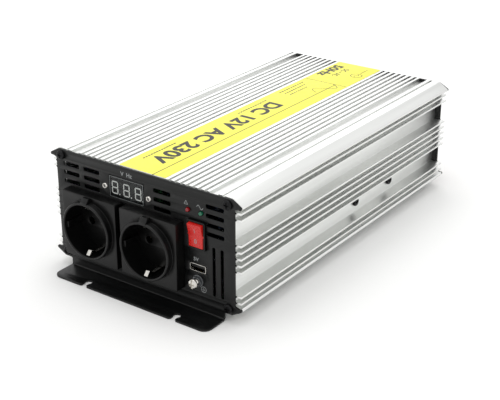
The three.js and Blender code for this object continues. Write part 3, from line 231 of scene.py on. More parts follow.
# ---------- shapes: every one is a closed bmesh in millimetres ----------
UPRIGHT = Matrix(((1, 0, 0, 0), (0, 0, -1, 0), (0, 1, 0, 0), (0, 0, 0, 1)))  # (a, b, c) to (a, -c, b)
SIDEWAYS = Matrix(((0, 0, 1, 0), (1, 0, 0, 0), (0, 1, 0, 0), (0, 0, 0, 1)))  # (a, b, c) to (c, a, b)


def rotated(angle, axis):
    return Matrix.Rotation(angle, 4, axis)


def evaluated_shape(holder):
    """The bmesh of an object with its modifiers on, and the object is thrown away."""
    bpy.context.scene.collection.objects.link(holder)
    depsgraph = bpy.context.evaluated_depsgraph_get()
    mesh = bpy.data.meshes.new_from_object(holder.evaluated_get(depsgraph))
    shape = bmesh.new()
    shape.from_mesh(mesh)
    bpy.data.objects.remove(holder)
    bpy.data.meshes.remove(mesh)
    return shape


def drawn(kind, splines, closed=True, **settings):
    """The shape that a curve with these settings makes of lines of (x, y, z) points, or of its words."""
    curve = bpy.data.curves.new("drawing", kind)
    for key, value in settings.items():
        setattr(curve, key, value)
    for points in splines:
        spline = curve.splines.new("POLY")
        spline.points.add(len(points) - 1)
        for point, place in zip(spline.points, points):
            point.co = (*place, 1)
        spline.use_cyclic_u = closed
    shape = evaluated_shape(bpy.data.objects.new("drawing", curve))
    bpy.data.curves.remove(curve)
    bmesh.ops.remove_doubles(shape, verts=shape.verts, dist=1e-4)
    return shape


def punched(loops, depth, edge=0.2, steps=1):
    """A flat piece cut to the first outline, with the others as holes, and with rounded edges."""
    splines = [[(x, y, 0) for x, y in loop] for loop in loops]
    return drawn("CURVE", splines, dimensions="2D", fill_mode="BOTH", extrude=depth / 2 - edge,
                 bevel_depth=edge, bevel_resolution=steps, offset=-edge)


def printed(*loops):
    """A flat printed mark, drawn in x and y."""
    return punched(loops, INK, 0.0, 0)


def wire(points, radius, closed=False, sides=2):
    """A round wire through points."""
    shape = drawn("CURVE", [points], closed, dimensions="3D", bevel_depth=radius, bevel_resolution=sides,
                  use_fill_caps=True)
    return facing_out(shape)


def facing_out(shape):
    """The same shape with its normals recalculated."""
    bmesh.ops.recalc_face_normals(shape, faces=shape.faces)
    return shape


def moved(shape, x=0.0, y=0.0, z=0.0, turn=None):
    """The same shape, turned by a matrix and then moved."""
    shape.transform(Matrix.Translation((x, y, z)) @ (turn or Matrix.Identity(4)))
    return shape


def upright(loops, y_low, y_high, edge=0.2, steps=1):
    """A piece whose outline is drawn in x and z, from y_low to y_high."""
    return moved(punched(loops, y_high - y_low, edge, steps), 0, (y_low + y_high) / 2, 0, UPRIGHT)


def sideways(loops, x_low, x_high, edge=0.2, steps=1):
    """A piece whose outline is drawn in y and z, from x_low to x_high."""
    return moved(punched(loops, x_high - x_low, edge, steps), (x_low + x_high) / 2, 0, 0, SIDEWAYS)


def level(loops, z_low, z_high, edge=0.2, steps=1):
    """A piece whose outline is drawn in x and y, from z_low to z_high."""
    return moved(punched(loops, z_high - z_low, edge, steps), 0, 0, (z_low + z_high) / 2)


def block(low, high, edge=0.2):
    """A box with rounded edges between two corners."""
    (x0, y0, z0), (x1, y1, z1) = low, high
    edge = min(edge, (z1 - z0) / 3)
    return level([rectangle((x0 + x1) / 2, (y0 + y1) / 2, x1 - x0, y1 - y0, edge)], z0, z1, edge)


def turned(profile, x=0.0, z=0.0, steps=64, closed=False):
    """A lathed piece whose axis is Y. A profile point is a radius and a y; a closed profile is a ring's."""
    shape = bmesh.new()
    rings = []
    for radius, y in profile:
        if radius < 1e-6:
            rings.append([shape.verts.new((0, y, 0))] * steps)
            continue
        rings.append([shape.verts.new((px, y, pz)) for px, pz in circle(0, 0, radius, steps)])
    pairs = list(zip(rings, rings[1:]))
    if closed:
        pairs.append((rings[-1], rings[0]))
    for first, second in pairs:
        for k in range(steps):
            j = (k + 1) % steps
            corners = [first[k], first[j], second[j], second[k]]
            kept = [v for n, v in enumerate(corners) if v not in corners[:n]]
            if len(kept) > 2:
                shape.faces.new(kept)
    return moved(facing_out(shape), x, 0, z)


def as_mesh(shape, name="part"):
    mesh = bpy.data.meshes.new(name)
    shape.to_mesh(mesh)
    shape.free()
    return mesh


def joined(shapes):
    """Several shapes in one bmesh."""
    whole = bmesh.new()
    for shape in shapes:
        mesh = as_mesh(shape)
        whole.from_mesh(mesh)
        bpy.data.meshes.remove(mesh)
    return whole


def marked(shape, index):
    """The same shape, with the material of that index on every face."""
    for face in shape.faces:
        face.material_index = index
    return shape


def carved(shape, *tools):
    """The shape with each tool's space cut from it."""
    for tool in tools:
        holder = bpy.data.objects.new("whole", as_mesh(shape))
        cutter = bpy.data.objects.new("tool", as_mesh(tool))
        bpy.context.scene.collection.objects.link(cutter)
        boolean = holder.modifiers.new("cut", "BOOLEAN")
        boolean.operation = "DIFFERENCE"
        boolean.solver = "EXACT"
        boolean.object = cutter
        shape = evaluated_shape(holder)
        bpy.data.objects.remove(cutter)
    return shape


def softened(node, width=0.3, segments=2):
    """A copy of a CAD node with its loose triangles merged and its sharp edges rounded."""
    shape = bmesh.new()
    shape.from_mesh(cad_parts[node].data)
    shape.transform(Matrix.Scale(1 / MM, 4))
    bmesh.ops.remove_doubles(shape, verts=shape.verts, dist=0.002)
    bmesh.ops.dissolve_limit(shape, angle_limit=math.radians(1), verts=shape.verts, edges=shape.edges)
    edges = [e for e in shape.edges if len(e.link_faces) == 2 and e.calc_face_angle(0) > math.radians(35)]
    bmesh.ops.bevel(shape, geom=edges, offset=width, segments=segments, profile=0.5, affect="EDGES",
                    clamp_overlap=True)
    return shape


def reach_of(shape, axis):
    values = [v.co[axis] for v in shape.verts]
    return min(values), max(values)


def lettering(words, height, thickness=INK, weight=0.0):
    """Figures and signs as a thin raised print, with the middle of the line at the origin."""
    shape = drawn("FONT", [], body=words, size=height / CAP_HEIGHT, offset=weight, extrude=thickness / 2,
                  resolution_u=4)
    return moved(shape, -sum(reach_of(shape, 0)) / 2, -sum(reach_of(shape, 1)) / 2)


def fitted(shape, width, height):
    """A flat shape centred on the origin, stretched to a width and a height."""
    (x0, x1), (y0, y1) = reach_of(shape, 0), reach_of(shape, 1)
    shape.transform(Matrix.Diagonal((width / (x1 - x0), height / (y1 - y0), 1, 1)))
    return shape


def add_piece(name, shape, finishes, slot, *stands_for, body="housing"):
    """Makes the finished object, with its place in its mesh. The finishes are names parted by spaces."""
    shape.transform(Matrix.Scale(MM, 4))
    mesh = as_mesh(shape, name)
    for entry in finishes.split():
        mesh.materials.append(finish(entry))
    mesh.shade_smooth()
    mesh.set_sharp_from_angle(angle=math.radians(SHARP))
    piece = bpy.data.objects.new(name, mesh)
    bpy.context.scene.collection.objects.link(piece)
    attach(piece, body)
    if stands_for:
        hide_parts(*stands_for)


# ---------- nodes ----------
def add_node(tree, kind, inputs=None, **settings):
    """Adds a node, sets what it is given, and links the inputs that are sockets or nodes' first outputs."""
    made = tree.nodes.new(kind)
    for key, value in settings.items():
        setattr(made, key, value)
    for key, value in (inputs or {}).items():
        if isinstance(value, bpy.types.Node):
            value = value.outputs[0]
        if isinstance(value, bpy.types.NodeSocket):
            tree.links.new(value, made.inputs[key])
        else:
            made.inputs[key].default_value = value
    return made


def linear(colour):
    """A #rrggbb colour as linear red, green, blue and alpha."""
    channels = [int(colour[i:i + 2], 16) / 255 for i in (1, 3, 5)]
    return [c / 12.92 if c <= 0.04045 else ((c + 0.055) / 1.055) ** 2.4 for c in channels] + [1.0]


class Finish:
    """A material being made: its tree, its shader and Object coordinates in millimetres."""

    def __init__(self, name, colour, roughness, metallic=0.0, **constants):
        self.material = bpy.data.materials.new(name)
        self.material.use_nodes = True
        self.tree = self.material.node_tree
        self.shader = self.tree.nodes["Principled BSDF"]
        own = getattr(bpy.context.scene.inverter_colours, colour, None)
        self.colour = linear(colour) if own is None else [*own, 1.0]
        self.material.diffuse_color = self.colour
        constants |= {"Base Color": self.colour, "Roughness": roughness, "Metallic": metallic}
        for key, value in constants.items():
            value = linear(value) if isinstance(value, str) else value
            self.shader.inputs[key.replace("_", " ")].default_value = value
        self.coordinates = add_node(self.tree, "ShaderNodeTexCoord").outputs["Object"]

    def grain(self, size, detail=0, stretch=(1, 1, 1)):
        """Noise of a size in millimetres, or blocks like copper tracks where it has no detail."""
        scale = [1 / (MM * size * s) for s in stretch]
        place = add_node(self.tree, "ShaderNodeMapping", {"Vector": self.coordinates, "Scale": scale})
        if not detail:
            blocks = add_node(self.tree, "ShaderNodeTexVoronoi", {"Vector": place, "Scale": 1.0},
                              distance="MANHATTAN", feature="F2")
            return blocks.outputs["Distance"]
        made = add_node(self.tree, "ShaderNodeTexNoise",
                        {"Vector": place, "Scale": 1.0, "Detail": detail, "Roughness": 0.55})
        return made.outputs["Fac"]

    def ranged(self, grain, low, high):
        """The grain's middle band stretched to low..high."""
        return add_node(self.tree, "ShaderNodeMapRange",
                        {0: self.grain(*grain), 1: 0.3, 2: 0.7, 3: low, 4: high}).outputs[0]

    def shade(self, low, high, *grain):
        """Darkens and lightens the colour by factors low to high along the grain."""
        ends = [[min(c * f, 1.0) for c in self.colour[:3]] + [1.0] for f in (low, high)]
        mix = add_node(self.tree, "ShaderNodeMix", {0: self.ranged(grain, 0.0, 1.0), 6: ends[0], 7: ends[1]},
                       data_type="RGBA")
        self.tree.links.new(mix.outputs[2], self.shader.inputs["Base Color"])

    def gloss(self, low, high, *grain):
        """Roughness from low to high along the grain."""
        self.tree.links.new(self.ranged(grain, low, high), self.shader.inputs["Roughness"])

    def relief(self, height, *grain):
        """A bump whose full height is in millimetres."""
        bump = add_node(self.tree, "ShaderNodeBump",
                        {"Height": self.grain(*grain), "Distance": height * MM, "Strength": 1.0})
        self.tree.links.new(bump.outputs[0], self.shader.inputs["Normal"])


# ---------- materials ----------
# A recipe's base is its colour, or the name of a colour in the panel, its roughness and its metallic. Its
# shade and gloss are a low value, a high value and a grain: a size in millimetres, a detail and a stretch.
# Its relief is a height in millimetres and a grain.
MATT_BLACK = {"Specular_IOR_Level": 0.3}  # reflects less than clear plastic, so that blacks stay black
# A lens's clear coat, and a faint painted glow: emission on a lens that isn't lit.
LENS_COAT_AND_PAINTED_GLOW = {"Coat_Weight": 0.3, "Emission_Strength": 0.06}
DIE_LINES = (0.35, 2, (1, 220, 1))
RECIPES = {
    # Extruded and clear anodised: a bright satin, with the die's fine lines running the whole length.
    "anodised_aluminium": dict(base=("aluminium", 0.34, 1.0), shade=(0.94, 1.03, 6, 3, (1, 30, 1)),
                               gloss=(0.28, 0.42, *DIE_LINES), relief=(0.012, *DIE_LINES)),
    # Steel powder coated satin black: an even orange peel that breaks up the reflections.
    "powder_coat": dict(base=("plate", 0.36), constants=MATT_BLACK, shade=(0.8, 1.3, 9, 3),
                        gloss=(0.32, 0.42, 2.5, 3), relief=(0.03, 0.7, 2)),
    # Steel screws blackened by oxide: dark metal, brighter where a driver has rubbed it.
    "blackened_steel": dict(base=("#1F1F20", 0.36, 0.9), shade=(0.75, 1.5, 1.1, 3),
                            gloss=(0.28, 0.46, 0.6, 2)),
    # Moulded ABS with a fine spark-eroded grain: black and soft in its highlights.
    "moulded_abs": dict(base=("plastic", 0.34), constants=MATT_BLACK, shade=(0.8, 1.3, 5, 2),
                        gloss=(0.3, 0.4, 1.5, 2), relief=(0.012, 0.3, 2)),
    # Polished red polycarbonate: saturated, with a clear gloss.
    "red_plastic": dict(base=("rocker", 0.28), shade=(0.94, 1.06, 4, 2), gloss=(0.24, 0.34, 1.0, 2),
                        relief=(0.006, 0.5, 2)),
    # Nickel on steel: a warm bright mirror, dulled a little in patches.
    "nickel_plate": dict(base=("#DAD7D1", 0.2, 1.0), shade=(0.86, 1.05, 2, 3), gloss=(0.14, 0.3, 0.8, 3)),
    # Dull zinc on steel: grey, with a fine crystal mottle.
    "zinc_plate": dict(base=("#7C7E80", 0.45, 1.0), shade=(0.8, 1.15, 0.9, 3), gloss=(0.4, 0.52, 0.6, 2)),
    # Turned brass: yellow metal with fine tool marks round it.
    "brass": dict(base=("#C8A558", 0.26, 1.0), shade=(0.85, 1.08, 2.5, 3),
                  gloss=(0.2, 0.36, 0.5, 2, (1, 0.3, 1)), relief=(0.006, 0.25, 1, (8, 1, 8))),
    # Cast acrylic, smoke tinted and polished: a dark clear pane.
    "smoked_acrylic": dict(base=("#0E1010", 0.12), constants={"Alpha": 0.22, "IOR": 1.49},
                           gloss=(0.05, 0.12, 3, 3)),
    # A painted highlight: a dull silvery line laid on the pane's face stands for its polished rim catching
    # the light.
    "pane_rim_painted_highlight": dict(base=("#6F7373", 0.4), shade=(0.8, 1.15, 1.5, 2)),
    # The display's face is cast in matt dark epoxy.
    "display_epoxy": dict(base=("#1B1E1E", 0.55), shade=(0.85, 1.2, 0.8, 2)),
    # A segment that isn't lit is milky resin; its emission is a painted glow that brightens it though nothing
    # lights it.
    "segment_painted_glow": dict(base=("#E6EAE6", 0.5), shade=(0.92, 1.04, 0.6, 2),
                          constants={"Emission_Strength": 0.35, "Emission_Color": "#DDE2DE"}),
    # Glass epoxy board under dark green solder mask, with copper tracks as paler bands.
    "circuit_board": dict(base=("#0C3018", 0.45), shade=(0.7, 1.5, 4), relief=(0.05, 4)),
    # Pressed and fired ferrite: charcoal grey and matt, with fine pores.
    "ferrite": dict(base=("#3A3C3E", 0.62), shade=(0.75, 1.2, 0.5, 4), relief=(0.02, 0.35, 3)),
    # Copper wire under amber enamel: metal with a clear coat.
    "enamelled_copper": dict(base=("#B4673A", 0.3, 1.0), shade=(0.8, 1.1, 1.2, 3),
                             constants={"Coat_Weight": 0.6, "Coat_Roughness": 0.12}),
    # Shrunk PVC sleeve: dark blue, smooth, slightly rippled.
    "shrink_sleeve": dict(base=("#22314F", 0.3), shade=(0.85, 1.15, 6, 2), relief=(0.05, 2.5, 2)),
    # Transfer-moulded epoxy of a power transistor: near black and faintly sparkling.
    "mould_epoxy": dict(base=("#2B2B2D", 0.5), shade=(0.8, 1.3, 0.3, 3), relief=(0.01, 0.2, 2)),
    # Glass-filled nylon: black, with flow marks.
    "fan_nylon": dict(base=("#1A1A1B", 0.46), shade=(0.8, 1.25, 3, 3, (1, 3, 1)), relief=(0.015, 0.4, 2)),
    # Tinted epoxy lens, not lit: a deep red, with a faint painted glow from its emission.
    "red_resin": dict(base=("#7E0B12", 0.12), shade=(0.8, 1.2, 1.5, 1),
                      constants=LENS_COAT_AND_PAINTED_GLOW | {"Emission_Color": "#A81018"}),
    # Tinted epoxy lens, not lit: a deep bluish green, with a faint painted glow from its emission.
    "green_resin": dict(base=("#0B5A40", 0.12), shade=(0.8, 1.2, 1.5, 1),
                        constants=LENS_COAT_AND_PAINTED_GLOW | {"Emission_Color": "#0E6E50"}),
    # Printed polyester film under a satin varnish: bright yellow, faintly uneven where it is stuck down.
    "label_film": dict(base=("label", 0.6), constants={"Specular_IOR_Level": 0.2}, shade=(0.97, 1.01, 12, 2),
                       gloss=(0.55, 0.65, 4, 2), relief=(0.02, 7, 2)),
    # Screen ink on the label: flat olive black.
    "label_ink": dict(base=("ink", 0.5), constants=MATT_BLACK, shade=(0.9, 1.15, 0.8, 2)),
    # White screen ink on black paint: thin, so it looks grey.
    "panel_ink": dict(base=("#8E9191", 0.55), shade=(0.8, 1.1, 0.5, 2)),
    # Matt white background paper, with a hint of fibre.
    "floor_paper": dict(base=("#F4F4F3", 0.9), shade=(0.99, 1.0, 3, 3)),
}


FINISHES = {}


def finish(name):
    """The material of that name, made once from its recipe."""
    if name not in FINISHES:
        recipe = RECIPES[name]
        made = Finish(name, *recipe["base"], **recipe.get("constants", {}))
        for part in ("shade", "gloss", "relief"):
            if part in recipe:
                getattr(made, part)(*recipe[part])
        FINISHES[name] = made.material
    return FINISHES[name]


# ---------- geometry nodes ----------
ONE_POINT = [(0, 0, 0)]
SIZE_SOCKETS = {int: "NodeSocketInt", float: "NodeSocketFloat", tuple: "NodeSocketVector",
                bpy.types.Object: "NodeSocketObject"}


def points_shape(places):
    """Loose points for a tree to put pieces on."""
    shape = bmesh.new()
    for place in places:
        shape.verts.new(place)
    return shape


class Growth:
    """A geometry tree that grows a plain shape: a starting mesh and named sizes go in."""

    def __init__(self, name, **sizes):
        self.sizes = sizes
        self.tree = bpy.data.node_groups.new(name, "GeometryNodeTree")
        interface = self.tree.interface
        interface.new_socket("Geometry", in_out="INPUT", socket_type="NodeSocketGeometry")
        for label, value in sizes.items():
            interface.new_socket(label, in_out="INPUT", socket_type=SIZE_SOCKETS[type(value)])
        interface.new_socket("Geometry", in_out="OUTPUT", socket_type="NodeSocketGeometry")
        self.given = add_node(self.tree, "NodeGroupInput").outputs

    def add(self, kind, inputs=None, **settings):
        """Adds a node. Where an input is a name, the tree's own input of that name is linked to it."""
        inputs = {key: self.given[value] if isinstance(value, str) else value
                  for key, value in (inputs or {}).items()}
        return add_node(self.tree, kind, inputs, **settings)

    def grown(self, geometry, paint, start=None):
        """Realises and paints the geometry, and gives the shape that it makes of a starting shape."""
        real = self.add("GeometryNodeRealizeInstances", {"Geometry": geometry})
        painted = self.add("GeometryNodeSetMaterial", {"Geometry": real, "Material": finish(paint)})
        self.add("NodeGroupOutput", {"Geometry": painted})
        holder = bpy.data.objects.new("grown", as_mesh(start or points_shape(ONE_POINT)))
        modifier = holder.modifiers.new("tree", "NODES")
        modifier.node_group = self.tree
        for item in self.tree.interface.items_tree:
            if item.name in self.sizes:
                modifier[item.identifier] = self.sizes[item.name]
        shape = evaluated_shape(holder)
        bpy.data.node_groups.remove(self.tree)
        return shape


def scattered(pattern, places, turn, paint):
    """Copies of a pattern on points, all turned alike."""
    holder = bpy.data.objects.new("pattern", as_mesh(pattern))
    growth = Growth("copies on points", Pattern=holder, Turn=turn)
    info = growth.add("GeometryNodeObjectInfo", {"Object": "Pattern"})
    rotation = growth.add("FunctionNodeEulerToRotation", {"Euler": "Turn"})
    dots = growth.add("GeometryNodeMeshToPoints", {"Mesh": "Geometry"})
    copies = growth.add("GeometryNodeInstanceOnPoints",
                        {"Points": dots, "Instance": info.outputs["Geometry"], "Rotation": rotation})
    shape = growth.grown(copies, paint, points_shape(places))
    bpy.data.objects.remove(holder)
    return shape


def ringed(pattern, count, paint):
    """Copies of a pattern spaced evenly round the Y axis."""
    holder = bpy.data.objects.new("pattern", as_mesh(pattern))
    growth = Growth("copies round an axis", Pattern=holder, Count=count)
    info = growth.add("GeometryNodeObjectInfo", {"Object": "Pattern"})
    dots = growth.add("GeometryNodePoints", {"Count": "Count"})
    number = growth.add("GeometryNodeInputIndex")
    share = growth.add("ShaderNodeMath", {0: number, 1: "Count"}, operation="DIVIDE")
    angle = growth.add("ShaderNodeMath", {0: share, 1: 2 * math.pi}, operation="MULTIPLY")
    euler = growth.add("ShaderNodeCombineXYZ", {"Y": angle})
    rotation = growth.add("FunctionNodeEulerToRotation", {"Euler": euler})
    copies = growth.add("GeometryNodeInstanceOnPoints",
                        {"Points": dots, "Instance": info.outputs["Geometry"], "Rotation": rotation})
    shape = growth.grown(copies, paint)
    bpy.data.objects.remove(holder)
    return shape


def word_bars(length, height, words, seed):
    """A line of small print too fine to read, as thin bars of seeded lengths along +X."""
    growth = Growth("small print", Length=float(length), Height=height, Words=words, Seed=seed)
    pitch = growth.add("ShaderNodeMath", {0: "Length", 1: "Words"}, operation="DIVIDE")
    step = growth.add("ShaderNodeCombineXYZ", {"X": pitch})
    line = growth.add("GeometryNodeMeshLine", {"Count": "Words", "Offset": step})
    dots = growth.add("GeometryNodeMeshToPoints", {"Mesh": line})
    bar = growth.add("GeometryNodeMeshCube", {"Size": (1, 1, INK)})
    share = growth.add("FunctionNodeRandomValue", {2: 0.55, 3: 0.86, "Seed": "Seed"})
    width = growth.add("ShaderNodeMath", {0: share.outputs[1], 1: pitch}, operation="MULTIPLY")
    size = growth.add("ShaderNodeCombineXYZ", {"X": width, "Y": "Height", "Z": 1.0})
    copies = growth.add("GeometryNodeInstanceOnPoints", {"Points": dots, "Instance": bar, "Scale": size})
    return moved(growth.grown(copies, "label_ink"), -length / 2 + length / words / 2)


def guard_rings(largest, count, wire_radius, paint):
    """Concentric wire rings about the Y axis, evenly spaced."""
    growth = Growth("wire rings", Largest=largest, Rings=count, Wire=wire_radius)
    dots = growth.add("GeometryNodePoints", {"Count": "Rings"})
    number = growth.add("GeometryNodeInputIndex")
    place = growth.add("ShaderNodeMath", {0: number, 1: 1.0}, operation="ADD")
    share = growth.add("ShaderNodeMath", {0: place, 1: "Rings"}, operation="DIVIDE")
    reach = growth.add("ShaderNodeMath", {0: share, 1: "Largest"}, operation="MULTIPLY")
    size = growth.add("ShaderNodeCombineXYZ", {0: reach, 1: reach, 2: 1.0})
    loop = growth.add("GeometryNodeCurvePrimitiveCircle", {"Resolution": 72, "Radius": 1.0})
    copies = growth.add("GeometryNodeInstanceOnPoints", {"Points": dots, "Instance": loop, "Scale": size})
    real = growth.add("GeometryNodeRealizeInstances", {"Geometry": copies})
    section = growth.add("GeometryNodeCurvePrimitiveCircle", {"Resolution": 12, "Radius": "Wire"})
    swept = growth.add("GeometryNodeCurveToMesh", {"Curve": real, "Profile Curve": section})
    return moved(facing_out(growth.grown(swept, paint)), turn=rotated(RIGHT_ANGLE, "X"))


def wound(width, depth, height, turns, wire_radius, paint):
    """Turns of wire stacked along Z round a rounded rectangle."""
    growth = Growth("stacked turns", Turns=turns, Height=height, Wire=wire_radius)
    gaps = growth.add("ShaderNodeMath", {0: "Turns", 1: 1.0}, operation="SUBTRACT")
    pitch = growth.add("ShaderNodeMath", {0: "Height", 1: gaps}, operation="DIVIDE")
    step = growth.add("ShaderNodeCombineXYZ", {"Z": pitch})
    line = growth.add("GeometryNodeMeshLine", {"Count": "Turns", "Offset": step})
    dots = growth.add("GeometryNodeMeshToPoints", {"Mesh": line})
    loop = growth.add("GeometryNodeMeshToCurve", {"Mesh": "Geometry"})
    section = growth.add("GeometryNodeCurvePrimitiveCircle", {"Resolution": 8, "Radius": "Wire"})
    turn = growth.add("GeometryNodeCurveToMesh", {"Curve": loop, "Profile Curve": section})
    copies = growth.add("GeometryNodeInstanceOnPoints", {"Points": dots, "Instance": turn})
    start = points_shape([(x, y, 0) for x, y in rectangle(0, 0, width, depth, min(width, depth) * 0.3, 6)])
    ring = list(start.verts)
    for k, vertex in enumerate(ring):
        start.edges.new((vertex, ring[(k + 1) % len(ring)]))
    return moved(facing_out(growth.grown(copies, paint, start)), 0, 0, -height / 2)


# ---------- housing ----------
def side_fin(fin_level, floor_below, floor_above, edge):
    low, high = fin_level - FIN / 2, fin_level + FIN / 2
    return [(floor_below, low, 0.35), (TIP_X, low, edge), (TIP_X, high, edge), (floor_above, high, 0.35)]


def wing(root_x, root_z, corner_z, corner_radius):
    """The lip at a corner: from the side out to its round tip, and back in to the corner."""
    slope = math.degrees(math.atan2(WING_TIP[1] - corner_z, WING_TIP[0] - CORNER_X))
    tip = arc(*WING_TIP, WING_TIP_RADIUS, slope - 90, slope + 90, 10)
    return [(root_x, root_z, 0.4), *sharp(tip), (CORNER_X, corner_z, corner_radius)]


def top_groove(outer, width, depth, edge):
    floor = TOP_LEVEL - depth
    return [(outer, TOP_LEVEL, edge), (outer, floor, 0.3), (outer - width, floor, 0.3),
            (outer - width, TOP_LEVEL, edge)]


def outside_quarter(start, low_fins, edge):
    """One quarter of the outside, from a height on the side up and over to the middle of the top."""
    points = [(GROOVE_FLOOR, start, 0)]
    fins = (*low_fins, *MIDDLE_LEVELS)
    for fin_level in fins:
        above = CHANNEL_FLOOR if fin_level == fins[-1] else GROOVE_FLOOR
        points += side_fin(fin_level, GROOVE_FLOOR, above, edge)
    for i, fin_level in enumerate(UPPER_LEVELS):
        points += side_fin(fin_level, GROOVE_FLOOR if i else CHANNEL_FLOOR, GROOVE_FLOOR, edge)
    points += wing(GROOVE_FLOOR, HALF_HEIGHT - WING_ROOT, TOP_LEVEL, 0.8)
    slab_inner = CORNER_X - SLAB
    points += top_groove(slab_inner, *THIN_GROOVE, edge)
    points += top_groove(slab_inner - THIN_GROOVE[0] - EDGE_FIN, WIDE_GROOVE, TOP_DEPTH, edge)
    for k in reversed(range(TOP_GROOVES)):
        points += top_groove(PAD_HALF + k * TOP_PITCH + TOP_GROOVE, TOP_GROOVE, TOP_DEPTH, edge)
    return [*points[:-1], (PAD_HALF, TOP_LEVEL - PAD_DROP, 0)]


def shell_section(outside, inside, sign):
    """Both sides of the outside and of the inside as one outline, upside down where sign is -1."""
    whole = [*outside, *mirrored(outside), *mirrored(inside), *inside]
    return [(x, CENTRE_Z + sign * z) for x, z in rounded(whole, 3)]


class INVERTER_OT_housing(Operator):
    """Make the two finned aluminium shells"""
    bl_idname = "inverter.housing"
    bl_label = "Housing"

    def execute(self, context):
        edge = context.scene.inverter_sizes.fin_edge / MM
        inner_x = CHANNEL_FLOOR - WALL
        inner_z = TOP_LEVEL - TOP_DEPTH - WALL
        lap_x = (GROOVE_FLOOR + inner_x) / 2
        tongue = lap_x - GAP / 2
        socket = lap_x + GAP / 2
        above = [(inner_x, inner_z, 1.0), (inner_x, SPLIT - LAP, 0), (tongue, SPLIT - LAP, 0.3),
                 (tongue, SPLIT, 0)]
        below = [(inner_x, inner_z, 1.0)]
        board_low = CENTRE_Z - lowest("main_board")[2] + GAP
        board_high = CENTRE_Z - highest("main_board")[2] - GAP
        ledge_x = inner_x - BOARD_LEDGE
        for near, far in ((board_low + BOARD_RAIL, board_low), (board_high, board_high - BOARD_RAIL)):
            below += [(inner_x, near, 0.3), (ledge_x, near, 0.4), (ledge_x, far, 0.4), (inner_x, far, 0.3)]
        seat = -SPLIT + LAP + GAP
        below += [(inner_x, seat, 0), (socket, seat, 0.3), (socket, -SPLIT + GAP, 0)]
        shells = (("top", outside_quarter(SPLIT, [0.0], edge), above, 1),
                  ("bottom", outside_quarter(-SPLIT + GAP, [], edge), below, -1))
        for end, outside, inside, sign in shells:
            shape = upright([shell_section(outside, inside, sign)], SHELL_FRONT, SHELL_REAR, 0.12)
            add_piece(f"{end}_housing", shape, "anodised_aluminium", "housing_aluminium", f"{end}_shell")
        return {"FINISHED"}


# ---------- end plates ----------
def tooth(fin_level):
    """The small step that the plate's edge makes in front of a fin."""
    out = HALF_WIDTH + TOOTH
    steps = ((HALF_WIDTH, -1), (out, -0.5), (out, 0.5), (HALF_WIDTH, 1))
    return [(x, fin_level + share * FIN / 2, 0.2) for x, share in steps]


def plate_side():
    """The plate's right edge from its bottom corner to its top one."""
    upper = [corner for fin_level in (*MIDDLE_LEVELS, *UPPER_LEVELS) for corner in tooth(fin_level)]
    upper += wing(HALF_WIDTH, HALF_HEIGHT - 7.2, HALF_HEIGHT, 0.5)
    lower = [(x, -z, radius) for x, z, radius in reversed(upper)]
    return [(x, CENTRE_Z + z, radius) for x, z, radius in [*lower, *tooth(0.0), *upper]]


def notch(x, edge_v):
    """A keyhole open at the foot's free edge."""
    half = NOTCH_NECK / 2
    wide = math.degrees(math.asin(half / NOTCH_HOLE))
    hole = arc(x, edge_v + NOTCH_INSET, NOTCH_HOLE, 270 - wide, wide - 90, 20)
    flare = [(half + NOTCH_FLARE, edge_v, NOTCH_ROUND), (half, edge_v + NOTCH_FLARE, NOTCH_ROUND)]
    return [*[(x - out, v, radius) for out, v, radius in flare], *sharp(hole),
            *[(x + out, v, radius) for out, v, radius in reversed(flare)]]


def folded_plate(holes):
    """The front plate: a punched flat blank, then its foot folded forward."""
    bend_top = FOLD_RADIUS + SHEET
    neutral = FOLD_RADIUS + SHEET / 2
    bend = neutral * RIGHT_ANGLE
    foot_edge = bend_top - bend - (FOOT_REACH - FOLD_RADIUS)
    right = [(FOOT_HALF, foot_edge, FOOT_CORNER), (FOOT_HALF, CENTRE_Z - HALF_HEIGHT, 0.8), *plate_side()]
    outline = rounded([*notch(-NOTCH_X, foot_edge), *notch(NOTCH_X, foot_edge), *right, *mirrored(right)])
    shape = punched([outline, *holes], SHEET, 0.25)
    for k in range(FOLD_STEPS + 1):
        everything = [*shape.verts, *shape.edges, *shape.faces]
        bmesh.ops.bisect_plane(shape, geom=everything, plane_co=(0, bend_top - bend * k / FOLD_STEPS, 0),
                               plane_no=(0, 1, 0), dist=1e-4)
    for vertex in shape.verts:
        x, v, c = vertex.co
        reach = neutral - c
        turn = min(max((bend_top - v) / neutral, 0.0), RIGHT_ANGLE)
        beyond = max(bend_top - bend - v, 0.0)
        y = FACE_Y - FOLD_RADIUS + reach * math.cos(turn) - beyond
        vertex.co = (x, y, max(v, bend_top) - reach * math.sin(turn))
    return shape


